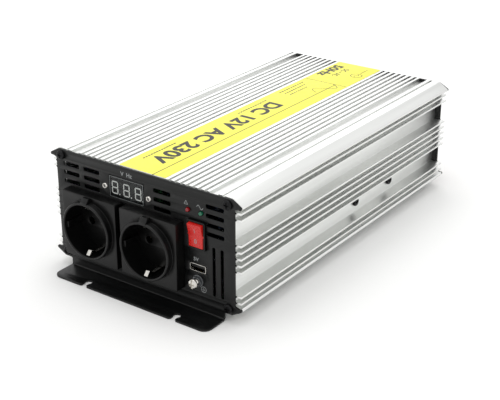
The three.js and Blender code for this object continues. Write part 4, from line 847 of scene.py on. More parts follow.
class INVERTER_OT_end_plates(Operator):
    """Punch and fold the two painted steel end plates"""
    bl_idname = "inverter.end_plates"
    bl_label = "End plates"

    def execute(self, context):
        corners = [spot(node) for node in PLATE_SCREWS]
        holes = [circle(x, z, SCREW_HOLE, 24) for x, z in corners]
        holes += [rectangle(x, CENTRE_Z + VENT_TOP - row * VENT_PITCH, *VENT)
                  for x, rows in FRONT_VENTS for row in range(rows)]
        holes += [rectangle(x, (low + high) / 2, TALL_VENT_WIDTH, high - low, 1.0)
                  for x, low, high in TALL_VENTS]
        holes += [circle(*spot(f"socket_{side}"), SOCKET_HOLE) for side in SIDES]
        holes += [circle(*spot(node), SCREW_HOLE, 24)
                  for node in ("rivet_left", "rivet_right", "fault_light", "power_light")]
        holes += [rectangle(*spot(node), *hole) for node, hole in
                  (("display_digits", WINDOW_HOLE), ("switch_body", SWITCH_HOLE), ("port_shell", PORT_HOLE))]
        holes.append(circle(*spot("earth_screw"), STUD_HOLE, 24))
        add_piece("front_end_plate", folded_plate(holes), "powder_coat", "plate_paint", "front_plate")

        # The rear plate is drawn as a front one and then turned round, so x changes its sign.
        x, z = spot("fan_frame")
        holes = [circle(-cx, cz, SCREW_HOLE, 24) for cx, cz in corners]
        holes.append(circle(-x, z, FAN_BORE, 96))
        holes += [circle(-x + across, z + up, SCREW_HOLE, 24) for across, up in FAN_CORNERS]
        for pole in ("negative", "positive"):
            x, z = spot(f"{pole}_terminal_stud")
            holes.append(circle(-x, z, TERMINAL_HOLE, 48))
            holes += [rectangle(-x, CENTRE_Z + side * (VENT_TOP - row * VENT_PITCH), *VENT)
                      for side in (-1, 1) for row in range(2)]
        shape = moved(folded_plate(holes), turn=rotated(math.pi, "Z"))
        add_piece("rear_end_plate", shape, "powder_coat", "plate_paint", "rear_plate")
        return {"FINISHED"}


# ---------- label ----------
def stroke(points, width):
    """A printed line of even width through (x, y) points."""
    sides = ([], [])
    for i, (x, y) in enumerate(points):
        before = Vector(points[max(i - 1, 0)])
        after = Vector(points[min(i + 1, len(points) - 1)])
        along = (after - before).normalized() * width / 2
        sides[0].append((x - along.y, y + along.x))
        sides[1].append((x + along.y, y - along.x))
    return printed([*sides[0], *reversed(sides[1])])


def wave(width, height, line, steps=36):
    """One period of a sine, drawn as a line of even width."""
    return stroke([(width * (k / steps - 0.5), height / 2 * math.sin(2 * math.pi * k / steps))
                   for k in range(steps + 1)], line)


class INVERTER_OT_label(Operator):
    """Lay the printed film along the top"""
    bl_idname = "inverter.label"
    bl_label = "Label"

    def execute(self, context):
        low, high = lowest("label"), highest("label")
        outline = rectangle(0, (low[1] + high[1]) / 2, high[0] - low[0], high[1] - low[1], 0.8)
        film_top = high[2] - 0.06
        film = level([outline], low[2], film_top, 0.08)
        add_piece("top_label", film, "label_film", "label_film", "label")
        # Each mark is drawn in x and y to be read along the housing: the mark, its x, and its distance back.
        marks = [
            (fitted(lettering("DC 12V AC 230V", 14, weight=0.75), 150, 14.2), -3.1, 95),
            (word_bars(37, 1.2, 13, 3), -14.2, 38),
            (word_bars(39, 1.2, 12, 4), -14.2, 152),
            (fitted(lettering("50Hz", 9, weight=0.5), 33, 9.6), -14.0, 268),
            (fitted(lettering("DC ~ AC", 5, weight=0.12), 22, 5.2), -3.6, 268),
            *[(word_bars(36 - 5 * row, 1.1, 11 - row, 7 + row), -15.8 + 4.8 * row, 210 - 2 * row)
              for row in range(3)],
            (wave(26, 15, 0.55), 8.0, 224),
            (stroke([(-118, 0), (118, 0)], 0.65), 10.2, 118.6),
            (stroke([(0, -20.4), (0, 20.4)], 0.6), 0, 237.5),
            (printed(circle(0, 0, 5.2, 48), circle(0, 0, 4.6, 48)), 12.0, 268),
            (wave(5.6, 3.0, 0.55), 12.0, 268),
            (stroke([(-6, 0), (6, 0)], 0.6), 12.0, 281),
        ]
        shapes = [moved(mark, x, FACE_Y + back, film_top + 0.01, rotated(-RIGHT_ANGLE, "Z"))
                  for mark, x, back in marks]
        add_piece("label_print", joined(shapes), "label_ink", "label_film")
        return {"FINISHED"}


# ---------- screws ----------
def pan_head(radius, height, length, recess):
    """A pan-head screw with a cross recess, its head to -Y and its seat at y = 0."""
    crown, shank = height * 0.6, SCREW_SHANK
    dome = [(radius - crown * (1 - math.cos(a)), crown - height - crown * math.sin(a))
            for a in reversed(swept_angles(5))]
    body = turned([(0, -height), *dome, (radius, -0.15), (radius - 0.15, 0), (shank, 0),
                   (shank, length - shank), (0, length)], steps=40)
    half, arm = recess / 2, recess * 0.13
    quarter = [(half, -arm, 0.1), (half, arm, 0.1), (arm, arm, 0.15)]
    cross = []
    for _ in range(4):
        cross += quarter
        quarter = [(-v, u, radius) for u, v, radius in quarter]
    return carved(body, upright([rounded(cross, 2)], -height - 1, height * 0.55 - height, 0.05))


class INVERTER_OT_screws(Operator):
    """Fit the black screws that hold the plates and the clamp bars"""
    bl_idname = "inverter.screws"
    bl_label = "Screws"

    def execute(self, context):
        corners = [spot(node) for node in PLATE_SCREWS]
        sets = [("front_plate", "front", 4, [(x, FACE_Y, z) for x, z in corners], 0.0, 14),
                ("rear_plate", "rear", 4, [(x, REAR_Y, z) for x, z in corners], math.pi, 14)]
        for side, sign in (("right", 1), ("left", -1)):
            places = [(sign * CHANNEL_FLOOR, *middle(f"{side}_side_screw_{i + 1}")[1:]) for i in range(2)]
            sets.append((f"{side}_side", f"{side}_side", 2, places, sign * RIGHT_ANGLE, 12))
        for name, nodes, count, places, angle, length in sets:
            screw = pan_head(SCREW_HEAD, SCREW_HEAD_HEIGHT, length, SCREW_RECESS)
            shape = scattered(screw, places, (0, 0, angle), "blackened_steel")
            add_piece(f"{name}_screws", shape, "blackened_steel", "black_screws",
                      *[f"{nodes}_screw_{i + 1}" for i in range(count)])
        return {"FINISHED"}


# ---------- sockets ----------
def strip(path, thickness):
    """The outline of a bent strip whose middle line runs through (a, b, radius) points."""
    sides = ([], [])
    for i, (a, b, radius) in enumerate(path):
        here = Vector((a, b))
        into = here - Vector(path[i - 1][:2]) if i else None
        out = Vector(path[i + 1][:2]) - here if i + 1 < len(path) else None
        into = (into or out).normalized()
        out = (out or into).normalized()
        along = (into + out).normalized()
        shift = along.orthogonal() * thickness / 2 / max(along.dot(into), 0.5)
        sides[0].append((a + shift.x, b + shift.y, radius))
        sides[1].append((a - shift.x, b - shift.y, radius))
    return rounded([*sides[0], *reversed(sides[1])], 4)


def socket_shape(width, height, rim, back):
    """A round earthed socket about the Y axis: face block, ring, well, key, guides and floor."""
    bore, half_wall, outer = SOCKET_BORE, SOCKET_WALL / 2, SOCKET_BORE + SOCKET_WALL
    face, floor = rim + SOCKET_RISE, rim + SOCKET_WELL
    base = upright([rectangle(0, 0, width, height, 1.0), circle(0, 0, bore + 0.6, 96)], face, FACE_Y, 0.45, 2)
    lip = [(bore + half_wall - half_wall * math.cos(a), rim + half_wall * (1 - math.sin(a)))
           for a in swept_angles(10, math.pi)]
    fillet = 0.3
    foot = [(outer + fillet * (1 - math.cos(a)), face - fillet * (1 - math.sin(a))) for a in swept_angles(4)]
    ring = turned([(bore, back), *lip, *foot, (22.2, face + 0.4), (22.0, FACE_Y), (22.0, back - 0.5),
                   (21.5, back)], steps=128, closed=True)
    key_top, key_foot, key_tip = height / 2 - 0.1, face + 1, rim + 0.1
    key_side = rounded([(key_foot, bore + 0.4, 0), (key_tip, bore + 0.4, 0), (key_tip, outer + 0.4, 0.3),
                        (face - 2.6, key_top, 0.3), (key_foot, key_top, 0)])
    key = sideways([key_side], -3, 3, 0.25)
    tab = block((-2.4, rim + 1.2, -outer - 0.9), (2.4, face + 0.5, -bore - 0.5), 0.3)
    guides = [block((min(a, b), rim + 2.5, -2.5), (max(a, b), floor + 1, 2.5), 0.4)
              for a, b in ((bore - 1.7, bore + 0.5), (-bore + 1.7, -bore - 0.5))]
    angle = math.radians(38)
    place = ((bore + 0.1) * math.cos(angle), (bore + 0.1) * math.sin(angle))
    pip = upright([circle(*place, 0.9, 20)], rim + 1.6, floor + 1)
    slots = [rectangle(0, side * (bore - 1.0), 4.6, 1.4, 0.2) for side in (-1, 1)]
    pins = [circle(side * PIN_SPREAD, 0, PIN_HOLE, 32) for side in (-1, 1)]
    cover = upright([circle(0, 0, bore + 0.4, 96), *slots, *pins], floor, back, 0.45, 2)
    return joined([base, ring, key, tab, *guides, pip, cover])


class INVERTER_OT_sockets(Operator):
    """Mould the two mains sockets with their earth strips and contacts"""
    bl_idname = "inverter.sockets"
    bl_label = "Sockets"

    def execute(self, context):
        for side in SIDES:
            node = f"socket_{side}"
            x, z = spot(node)
            low, high = lowest(node), highest(node)
            rim, back = low[1], high[1]
            shape = moved(socket_shape(high[0] - low[0], high[2] - low[2], rim, back), x, 0, z)
            add_piece(f"{side}_socket_moulding", shape, "moulded_abs", "socket_plastic", node)
            crest, arm = SOCKET_BORE - 3.9, SOCKET_BORE - 1.0
            start, rear = rim + 1.9, back + 0.7
            half = [(start, arm + 0.5, 0), (start + 2.8, crest, 1.0), (start + 6.7, arm, 1.5),
                    (rear, arm, 0.6)]
            path = [*half, *[(y, -r, radius) for y, r, radius in reversed(half)]]
            clip = moved(sideways([strip(path, 0.8)], -1.6, 1.6), x, 0, z)
            add_piece(f"{side}_earth_strip", clip, "nickel_plate", "spring_steel", f"earth_clip_{side}")
            for pole in ("line", "neutral"):
                contact = f"socket_{side}_{pole}_contact"
                cx, cz = spot(contact)
                front, end = span(contact)
                sleeve = upright([circle(cx, cz, 3.5, 40), circle(cx, cz, 2.8, 40)], front, end, 0.12)
                slits = [upright([rectangle(cx, cz + s * 3.2, 0.5, 2.0)], front - 1, front + 6, 0.05)
                         for s in (-1, 1)]
                add_piece(f"{side}_{pole}_sleeve", carved(sleeve, *slits), "brass", "brass", contact)
        return {"FINISHED"}


# ---------- display ----------
FIGURE_PITCH = 10.65
FIGURE_WIDTH = 5.0
FIGURE_HEIGHT = 8.8
FIGURE_LINE = 0.8
FIGURE_SHIFT = (-0.4, -0.6)  # the figures sit a little left and low, to leave room for the points
FIGURE_THICKNESS = 0.03  # either side of its middle


def segment(length):
    """One display segment, pointed at both ends, lying along X and facing -Y."""
    half, tip = length / 2 - 0.125, FIGURE_LINE / 2
    outline = [(-half, 0), (-half + tip, -tip), (half - tip, -tip), (half, 0), (half - tip, tip),
               (-half + tip, tip)]
    return upright([outline], -FIGURE_THICKNESS, FIGURE_THICKNESS, 0.0, 0)


class INVERTER_OT_display(Operator):
    """Fit the three-figure display with its window, board and rivets"""
    bl_idname = "inverter.display"
    bl_label = "Display"

    def execute(self, context):
        x, z = spot("display_digits")
        pane_front, lip_back = span("display_window")
        pane_back = pane_front + 0.6
        pane = upright([rectangle(x, z, 31.3, 16.3, 0.5)], pane_front, pane_back, 0.25, 2)
        add_piece("display_pane", pane, "smoked_acrylic", "window_acrylic", "display_window")
        # A thin grey ring on the pane's face: a painted highlight standing for the rim catching the light.
        rim_highlight = upright([rectangle(x, z, 30.7, 15.7, 0.4), rectangle(x, z, 30.0, 15.0, 0.3)],
                         pane_front - 0.03, pane_front + 0.02, 0.0, 0)
        add_piece("display_border", rim_highlight, "pane_rim_painted_highlight", "window_acrylic")

        low, high = lowest("display_digits"), highest("display_digits")
        body_front, lip = pane_back + 0.12, 2.5
        body = [block((low[0], body_front, low[2]), high, 0.3),
                block((low[0] - lip, lip_back - 1.0, low[2] - lip),
                      (high[0] + lip, lip_back, high[2] + lip), 0.3)]
        add_piece("display_unit", joined(body), "display_epoxy", "display_body", "display_digits")

        face, half_width, half_height = body_front - 0.035, FIGURE_WIDTH / 2, FIGURE_HEIGHT / 2
        lying, standing, dots = [], [], []
        for k in (-1, 0, 1):
            cx, cz = x + k * FIGURE_PITCH + FIGURE_SHIFT[0], z + FIGURE_SHIFT[1]
            lying += [(cx, face, cz + n * half_height) for n in (-1, 0, 1)]
            standing += [(cx + sx * half_width, face, cz + sz * half_height / 2) for sx, sz in QUARTERS]
            dots.append((cx + half_width + 1.7, face, cz - half_height))
        dot = upright([circle(0, 0, 0.55, 16)], -FIGURE_THICKNESS, FIGURE_THICKNESS, 0.0, 0)
        groups = ((segment(FIGURE_WIDTH), lying, 0.0), (segment(half_height), standing, RIGHT_ANGLE),
                  (dot, dots, 0.0))
        # The segments' finish gives them a painted glow: emission on segments that are not lit.
        shapes = [scattered(pattern, places, (0, turn, 0), "segment_painted_glow")
                  for pattern, places, turn in groups]
        add_piece("display_segments", joined(shapes), "segment_painted_glow", "display_body")

        add_piece("display_circuit_board", softened("display_board", 0.15), "circuit_board", "circuit_board",
                  "display_board")
        for side in SIDES:
            node = f"rivet_{side}"
            x, z = spot(node)
            back = span(node)[1]
            head = [(1.05, 0.5), (1.2, 0.75), (1.5, 0.85), (1.9, 0.7), (2.15, 0.35), (2.25, 0.02), (1.5, 0)]
            profile = [*[(radius, FACE_Y - rise) for radius, rise in head], (1.5, back - 0.4), (1.3, back),
                       (1.05, back - 0.2)]
            # A dull zinc plug fills the bore just behind the head: painted shade, darkening the hollow
            # rivet's centre where the open bore would be in shadow.
            core = upright([circle(x, z, 1.2, 24)], FACE_Y + 0.1, FACE_Y + 0.7, 0.1)
            rivet = joined([marked(turned(profile, x, z, 40, closed=True), 0), marked(core, 1)])
            add_piece(f"{side}_hollow_rivet", rivet, "nickel_plate zinc_plate", "bright_steel", node)
        return {"FINISHED"}


# ---------- switch ----------
class INVERTER_OT_switch(Operator):
    """Make the rocker switch"""
    bl_idname = "inverter.switch"
    bl_label = "Switch"

    def execute(self, context):
        x, z = spot("switch_body")
        front, back = span("switch_body")
        bezel, tube, opening = (15, 21, 0.9), (14.3, 20.3, 0.5), (12.5, 18.5, 0.4)
        body = [upright([rectangle(x, z, *bezel), rectangle(x, z, *opening)], front, FACE_Y, 0.35, 2),
                upright([rectangle(x, z, *tube), rectangle(x, z, *opening)], FACE_Y - 0.3, back),
                upright([rectangle(x, z, *tube)], back - 3, back)]
        add_piece("switch_frame", joined(body), "moulded_abs", "switch_plastic", "switch_body")

        # The rocker's section, from its pivot: its ends stand out more than its middle.
        radius, end_rise, middle_rise, depth, pivot_y = 8.9, 2.3, 1.4, 3.0, front + 1.0
        end_z = math.sqrt(radius ** 2 - end_rise ** 2)
        end_angle = math.degrees(math.atan2(end_z, -end_rise))
        heel_angle = math.degrees(math.asin(math.sqrt(radius ** 2 - 1) / radius))
        upper = sharp(arc(0, 0, radius, heel_angle, end_angle - 3, 14))
        lower = [(a, -b, 0) for a, b, _ in reversed(upper)]
        heel = math.sqrt(radius ** 2 - depth ** 2) - 1
        outline = rounded([(-middle_rise, 0, 6.0), (-end_rise, -end_z, 0.7), *lower, (depth, -heel, 0.4),
                           (depth, heel, 0.4), *upper, (-end_rise, end_z, 0.7)])
        tilt = rotated(math.radians(7), "X")
        paddle = joined([sideways([outline], -5.9, 5.9, 0.35, 2),
                         sideways([circle(0, 0, 1.1, 24)], -6.8, 6.8, 0.15)])
        slope = math.atan2(end_rise - middle_rise, end_z)
        share = 0.47  # of the way from the middle to an end
        rise = middle_rise + (end_rise - middle_rise) * share + INK / 2
        marks = [moved(lettering(words, height, 0.06, 0.02), 0, -rise, sign * end_z * share,
                       rotated(RIGHT_ANGLE + sign * slope, "X"))
                 for sign, words, height in ((1, "I", 3.2), (-1, "0", 3.4))]
        add_piece("rocker", moved(paddle, x, pivot_y, z, tilt), "red_plastic", "red_plastic", "switch_rocker",
                  body="switch_rocker")
        add_piece("rocker_marks", moved(joined(marks), x, pivot_y, z, tilt), "panel_ink", "red_plastic",
                  body="switch_rocker")
        return {"FINISHED"}


# ---------- lights, port and earth screw ----------
class INVERTER_OT_lights(Operator):
    """Fit the fault and running lights"""
    bl_idname = "inverter.lights"
    bl_label = "Lights"

    def execute(self, context):
        radius, flange = 1.5, 2.0
        for node, colour in (("fault_light", "red"), ("power_light", "green")):
            tip, back = span(node)
            dome = [(radius * math.sin(a), tip + radius - radius * math.cos(a)) for a in swept_angles(8)]
            profile = [*dome, (radius, back - 1), (flange, back - 1), (flange, back), (0, back)]
            add_piece(f"{node}_lens", turned(profile, *spot(node), 32), f"{colour}_resin", f"{colour}_lens",
                      node)
        return {"FINISHED"}


class INVERTER_OT_charging_port(Operator):
    """Make the charging port"""
    bl_idname = "inverter.charging_port"
    bl_label = "Charging port"

    def execute(self, context):
        x, z = spot("port_shell")
        mouth, back = span("port_shell")
        tube = upright([rectangle(x, z, 13.7, 5.7, 0.9), rectangle(x, z, 12.8, 4.8, 0.5)], mouth, back, 0.12)
        end = upright([rectangle(x, z, 13.5, 5.5, 0.7)], back - 0.45, back, 0.1)
        add_piece("port_can", joined([tube, end]), "nickel_plate", "bright_steel", "port_shell")
        low, high = lowest("port_tongue"), highest("port_tongue")
        leaf = block((x - 5.6, low[1], high[2] - 2.4), (x + 5.6, high[1] - 3, high[2] - 0.6), 0.25)
        root = block((low[0], high[1] - 3.2, low[2]), high)
        add_piece("port_insert", joined([leaf, root]), "moulded_abs", "socket_plastic", "port_tongue")
        contact = block((-0.6, low[1] + 0.6, high[2] - 2.46), (0.6, high[1] - 3.5, high[2] - 2.3), 0.04)
        places = [(x + offset, 0, 0) for offset in (-3.5, -1.0, 1.0, 3.5)]
        add_piece("port_fingers", scattered(contact, places, (0, 0, 0), "brass"), "brass", "brass")
        return {"FINISHED"}


class INVERTER_OT_earth_terminal(Operator):
    """Fit the earth screw with its nut and washer"""
    bl_idname = "inverter.earth_terminal"
    bl_label = "Earth terminal"

    def execute(self, context):
        x, z = spot("earth_screw")
        tip, end = span("earth_screw")
        head, pitch, seat = 3.9, 0.7, tip + 2.6
        dome = [(head * math.sin(a) ** 0.8, seat - 0.7 - 1.9 * math.cos(a)) for a in swept_angles(8)]
        thread = []
        for k in range(int((end - seat - 1) / pitch)):
            thread += [(2.0, seat + 0.3 + k * pitch), (1.7, seat + 0.65 + k * pitch)]
        body = turned([*dome, (head, seat - 0.15), (head - 0.15, seat), (2.0, seat), *thread,
                       (1.6, end - 0.5), (0, end)], x, z, 40)
        cuts = [block((x - across, tip - 1, z - up), (x + across, tip + 1.3, z + up), 0.05)
                for across, up in ((0.55, 5), (2.2, 0.55))]
        add_piece("earth_screw_turned", carved(body, *cuts), "nickel_plate", "bright_steel", "earth_screw")
        front, back = span("earth_nut")
        hexagon = circle(x, z, 7 / math.sqrt(3), 6)
        nut = upright([hexagon, circle(x, z, STUD_HOLE, 32)], front, back, 0.3, 2)
        add_piece("earth_hex_nut", nut, "zinc_plate", "bright_steel", "earth_nut")
        washer = upright([circle(x, z, 4.5, 48), circle(x, z, STUD_HOLE, 32)], back, FACE_Y, 0.15)
        add_piece("earth_flat_washer", washer, "zinc_plate", "bright_steel", "earth_washer")
        return {"FINISHED"}


# ---------- signs on the panels ----------
def warning_triangle(size):
    """A triangle round an exclamation mark."""
    outer = rounded([(size * math.cos(a), size * math.sin(a), 0.4)
                     for a in (RIGHT_ANGLE, -5 * math.pi / 6, -math.pi / 6)])
    inner = [(a * 0.72, b * 0.72) for a, b in outer]
    return joined([printed(outer, inner), moved(lettering("!", size * 0.7), 0, -size * 0.08)])


def earth_sign(size):
    """The protective earth sign: three bars and a stem in a ring."""
    line = size * 0.12
    bars = [printed(rectangle(0, -size * 0.27 * k, size * share, line))
            for k, share in enumerate((1.15, 0.75, 0.35))]
    return joined([printed(circle(0, 0, size, 40), circle(0, 0, size * 0.86, 40)),
                   printed(rectangle(0, size * 0.35, line, size * 0.7)), *bars])


class INVERTER_OT_signs(Operator):
    """Print the plain signs on both end plates"""
    bl_idname = "inverter.signs"
    bl_label = "Signs"

    def execute(self, context):
        # Each sign is drawn in x and y: the sign, the node it belongs to, and how far from it in x and z.
        window_rise = highest("display_window")[2] - spot("display_digits")[1] + 1.6
        front = [(lettering("V  Hz", 3.2, weight=0.06), "display_digits", 0.3, window_rise),
                 (warning_triangle(2.2), "fault_light", -1.6, 4.6),
                 (wave(5.4, 2.6, 0.4), "power_light", -1.0, 4.2),
                 (lettering("5V", 2.8, weight=0.06), "port_shell", -1.5, 6.3),
                 (earth_sign(2.3), "earth_screw", 4.6, -5.6)]
        bars = (("negative", 5.0, 0.8), ("positive", 5.0, 0.8), ("positive", 0.8, 5.0))
        rear = [(printed(rectangle(0, 0, width, height)), f"{pole}_terminal_stud", 0, 17)
                for pole, width, height in bars]
        for end, signs, y, turn in (("front", front, FACE_Y - INK / 2, UPRIGHT),
                                    ("rear", rear, REAR_Y + INK / 2, rotated(math.pi, "Z") @ UPRIGHT)):
            shapes = [moved(sign, spot(node)[0] + across, y, spot(node)[1] + up, turn)
                      for sign, node, across, up in signs]
            add_piece(f"{end}_signs", joined(shapes), "panel_ink", "plate_paint")
        return {"FINISHED"}


# ---------- fan ----------
def fan_blade(root, tip, front, back, thickness, angle):
    """A cambered blade along +Z, twisted less towards its tip."""
    shape = bmesh.new()
    rows, columns = 8, 8
    grids = []
    for face in (1, -1):
        grid = []
        for i in range(rows + 1):
            radius = root + (tip - root) * i / rows
            slope = math.radians(angle * (1.15 - 0.3 * i / rows))
            chord = (back - front) / math.cos(slope) * 0.98
            line = []
            for k in range(columns + 1):
                share = 2 * k / columns - 1
                along = share / 2 * chord
                edge = face * thickness / 2 * math.sqrt(max(1 - share ** 4, 0.05))
                across = 1.3 * (1 - share ** 2) + edge
                x = along * math.sin(slope) + across * math.cos(slope)
                y = (front + back) / 2 + along * math.cos(slope) - across * math.sin(slope)
                z = math.sqrt(radius ** 2 - min(abs(x), radius * 0.95) ** 2)
                line.append(shape.verts.new((x, min(max(y, front), back), z)))
            grid.append(line)
        grids.append(grid)
    top, bottom = grids
    for i in range(rows):
        for k in range(columns):
            shape.faces.new((top[i][k], top[i][k + 1], top[i + 1][k + 1], top[i + 1][k]))
            shape.faces.new((bottom[i][k], bottom[i + 1][k], bottom[i + 1][k + 1], bottom[i][k + 1]))
    rim = [[*g[0], *[g[i][columns] for i in range(1, rows)], *reversed(g[rows]),
            *[g[i][0] for i in reversed(range(1, rows))]] for g in grids]
    for k in range(len(rim[0])):
        j = (k + 1) % len(rim[0])
        shape.faces.new((rim[0][j], rim[0][k], rim[1][k], rim[1][j]))
    return facing_out(shape)


class INVERTER_OT_fan(Operator):
    """Build the fan with its rotor, guard and screws"""
    bl_idname = "inverter.fan"
    bl_label = "Fan"

    def execute(self, context):
        x, z = spot("fan_frame")
        front, back = span("fan_frame")
        half, hub, flange = 30.0, 12.5, 4
        diagonals = [math.radians(45 + 90 * k) for k in range(4)]
        square = rectangle(0, 0, 2 * half, 2 * half, 3.5, 6)
        holes = [circle(*place, SCREW_HOLE, 24) for place in FAN_CORNERS]
        flanges = [upright([square, circle(0, 0, FAN_BORE, 96), *holes], a, b, 0.3)
                   for a, b in ((front, front + flange), (back - flange, back))]
        duct = turned([(FAN_BORE, front + 0.2), (FAN_BORE, back - 0.2), (half - 0.3, back - 0.2),
                       (half - 0.3, front + 0.2)], steps=96, closed=True)
        struts = [moved(block((10, front, -1.5), (FAN_BORE + 1, front + 3, 1.5), 0.4), turn=rotated(a, "Y"))
                  for a in diagonals]
        plate = turned([(0, front), (hub - 0.5, front), (hub, front + 0.5), (hub, front + 3), (0, front + 3)])
        shaft = turned([(0, front + 1), (1.5, front + 1), (1.5, back - 4.3), (1.2, back - 4), (0, back - 4)],
                       steps=24)
        add_piece("fan_housing", moved(joined([*flanges, duct, *struts, plate, shaft]), x, 0, z), "fan_nylon",
                  "fan_plastic", "fan_frame")

        low, high = span("fan_rotor")
        cap = turned([(1.85, high - 3.4), (1.85, low), (hub - 0.4, low), (hub, low + 0.4), (hub, high - 1.4),
                      (hub - 0.4, high - 0.5), (hub - 1.4, high), (8.6, high), (8.3, high - 0.35),
                      (0, high - 0.35), (0, high - 3.4)], steps=72)
        blades = ringed(fan_blade(11.6, 26.6, low, high, 1.3, 38), 7, "fan_nylon")
        add_piece("fan_impeller", moved(joined([cap, blades]), x, 0, z), "fan_nylon", "fan_plastic",
                  "fan_rotor", body="fan_rotor")

        rod = 0.95
        guard_y = lowest("fan_guard")[1] + rod
        shapes = [moved(guard_rings(27.0, 4, rod, "nickel_plate"), 0, guard_y + 0.9, 0)]
        reach = FAN_HOLE * math.sqrt(2)
        for turn in diagonals:
            across, up = math.cos(turn), math.sin(turn)
            spoke = [(across * r, guard_y, up * r) for r in (0.5, 26, 30, reach - 2.6)]
            shapes.append(wire(spoke, rod, sides=3))
            eye = circle(across * reach, up * reach, 2.75, 24)
            shapes.append(wire([(a, guard_y, b) for a, b in eye], rod * 0.98, closed=True, sides=3))
        add_piece("fan_finger_guard", moved(joined(shapes), x, 0, z), "nickel_plate", "bright_steel",
                  "fan_guard")
        places = [(x + across, guard_y + rod - 0.3, z + up) for across, up in FAN_CORNERS]
        screws = scattered(pan_head(3.1, 1.9, 10, 3.4), places, (0, 0, math.pi), "blackened_steel")
        add_piece("fan_screws", screws, "blackened_steel", "black_screws")
        return {"FINISHED"}


# ---------- input terminals ----------
class INVERTER_OT_terminals(Operator):
    """Make the two battery terminals"""
    bl_idname = "inverter.terminals"
    bl_label = "Battery terminals"

    def execute(self, context):
        bore, pitch = 4.3, 1.25
        for pole, plastic, slot in (("negative", "moulded_abs", "socket_plastic"),
                                    ("positive", "red_plastic", "red_plastic")):
            base_node, stud_node, knob_node = (f"{pole}_terminal_{part}" for part in ("base", "stud", "knob"))
            x, z = spot(stud_node)
            inner, face = span(base_node)
            profile = [(bore, inner), (6.8, inner), (7.0, inner + 0.2), (7.0, REAR_Y), (12.0, REAR_Y),
                       *[(11.0 + math.cos(a), face - 1 + math.sin(a)) for a in swept_angles(5)],
                       (9.4, face), (9.1, face - 0.5), (8.4, face - 0.5), (8.1, face), (bore, face)]
            add_piece(f"{pole}_insulator", turned(profile, x, z, 72, closed=True), plastic, slot, base_node)

            back, tip = span(stud_node)
            head = back + 3
            thread = []
            for k in range(int((tip - 1.2 - head - 6) / pitch)):
                y = head + 6 + k * pitch
                thread += [(4.0, y + 0.2), (4.0, y + 0.35), (3.45, y + 0.75), (3.45, y + 0.9)]
            profile = [(0, back), (7.7, back), (8.0, back + 0.3), (8.0, head), (4.0, head), *thread,
                       (3.9, tip - 0.9), (3.1, tip), (0, tip)]
            add_piece(f"{pole}_stud", turned(profile, x, z, 48), "brass", "brass", stud_node)

            low, high = span(knob_node)
            core = turned([(bore, low), (7.2, low), (7.5, low + 0.3), (7.5, high - 1.2), (6.6, high - 0.2),
                           (5.6, high), (bore, high)], x, z, 72, closed=True)
            rib = moved(upright([circle(0, 0, 1.25, 20)], low + 0.2, high - 0.5, 0.45, 2), 7.2)
            ribs = moved(ringed(rib, 12, plastic), x, 0, z)
            add_piece(f"{pole}_knob_moulding", joined([core, ribs]), plastic, slot, knob_node,
                      body=f"{pole}_knob")
        return {"FINISHED"}


# ---------- inside ----------
class INVERTER_OT_power_board(Operator):
    """Build the power board and what stands on it"""
    bl_idname = "inverter.power_board"
    bl_label = "Power board"

    def execute(self, context):
        add_piece("power_board", softened("main_board", 0.2), "circuit_board", "circuit_board", "main_board")
        for k in (1, 2):
            core = f"transformer_core_{k}"
            add_piece(f"ferrite_core_{k}", softened(core, 0.6, 3), "ferrite", "ferrite", core)
            node = f"transformer_winding_{k}"
            rod = 0.85
            width, depth, height = (b - a - 2 * rod for a, b in zip(lowest(node), highest(node)))
            turns = int(height / (2 * rod)) + 1
            layers = [wound(width - 2 * inset, depth - 2 * inset, height, turns, rod, "enamelled_copper")
                      for inset in (0.0, 1.5)]
            add_piece(f"transformer_coil_{k}", moved(joined(layers), *middle(node)), "enamelled_copper",
                      "copper_winding", node)
            can = f"capacitor_{k}"
            (x, y, _), low, high = middle(can), lowest(can)[2], highest(can)[2]
            r = highest(can)[0] - x
            sleeve = turned([(0, low), (r - 0.6, low), (r, low + 0.6), (r, low + 2.6), (r - 0.7, low + 3.3),
                             (r, low + 4.0), (r, high - 0.8), (r - 0.8, high), (r - 1.6, high - 0.35),
                             (0, high - 0.35)])
            sleeve = moved(sleeve, x, y, 0, rotated(RIGHT_ANGLE, "X"))
            add_piece(f"capacitor_can_{k}", sleeve, "shrink_sleeve", "capacitor_sleeve", can)
        (x, y, z), low, high = middle("output_choke"), lowest("output_choke"), highest("output_choke")
        tube_radius = (high[1] - low[1]) / 2
        ring_radius = high[0] - x - tube_radius
        loop = sharp(circle(ring_radius, 0, tube_radius - 0.7, 20))
        coil = ringed(wire(loop, 0.62, closed=True, sides=1), 40, "enamelled_copper")
        toroid = turned(circle(ring_radius, 0, tube_radius - 1.2, 20), closed=True)
        whole = joined([marked(coil, 0), marked(toroid, 1)])
        add_piece("choke_coil", moved(whole, x, y, z), "enamelled_copper ferrite", "copper_winding",
                  "output_choke")
        for side in SIDES:
            add_piece(f"{side}_clamp_bar", softened(f"clamp_bar_{side}", 0.4, 3), "anodised_aluminium",
                      "housing_aluminium", f"clamp_bar_{side}")
            add_piece(f"{side}_power_transistor", softened(f"transistor_{side}", 0.35, 3), "mould_epoxy",
                      "transistor_epoxy", f"transistor_{side}")
        return {"FINISHED"}


# ---------- stage ----------
def add_light(name, place, aim, size, power, diffuse=True):
    """A square soft light at a place, in metres, turned to face a point."""
    lamp = bpy.data.lights.new(name, "AREA")
    lamp.size = size
    lamp.energy = power
    holder = bpy.data.objects.new(name, lamp)
    holder.visible_diffuse = diffuse
    holder.location = place
    holder.rotation_euler = (Vector(aim) - Vector(place)).to_track_quat("-Z", "Y").to_euler()
    bpy.context.scene.collection.objects.link(holder)


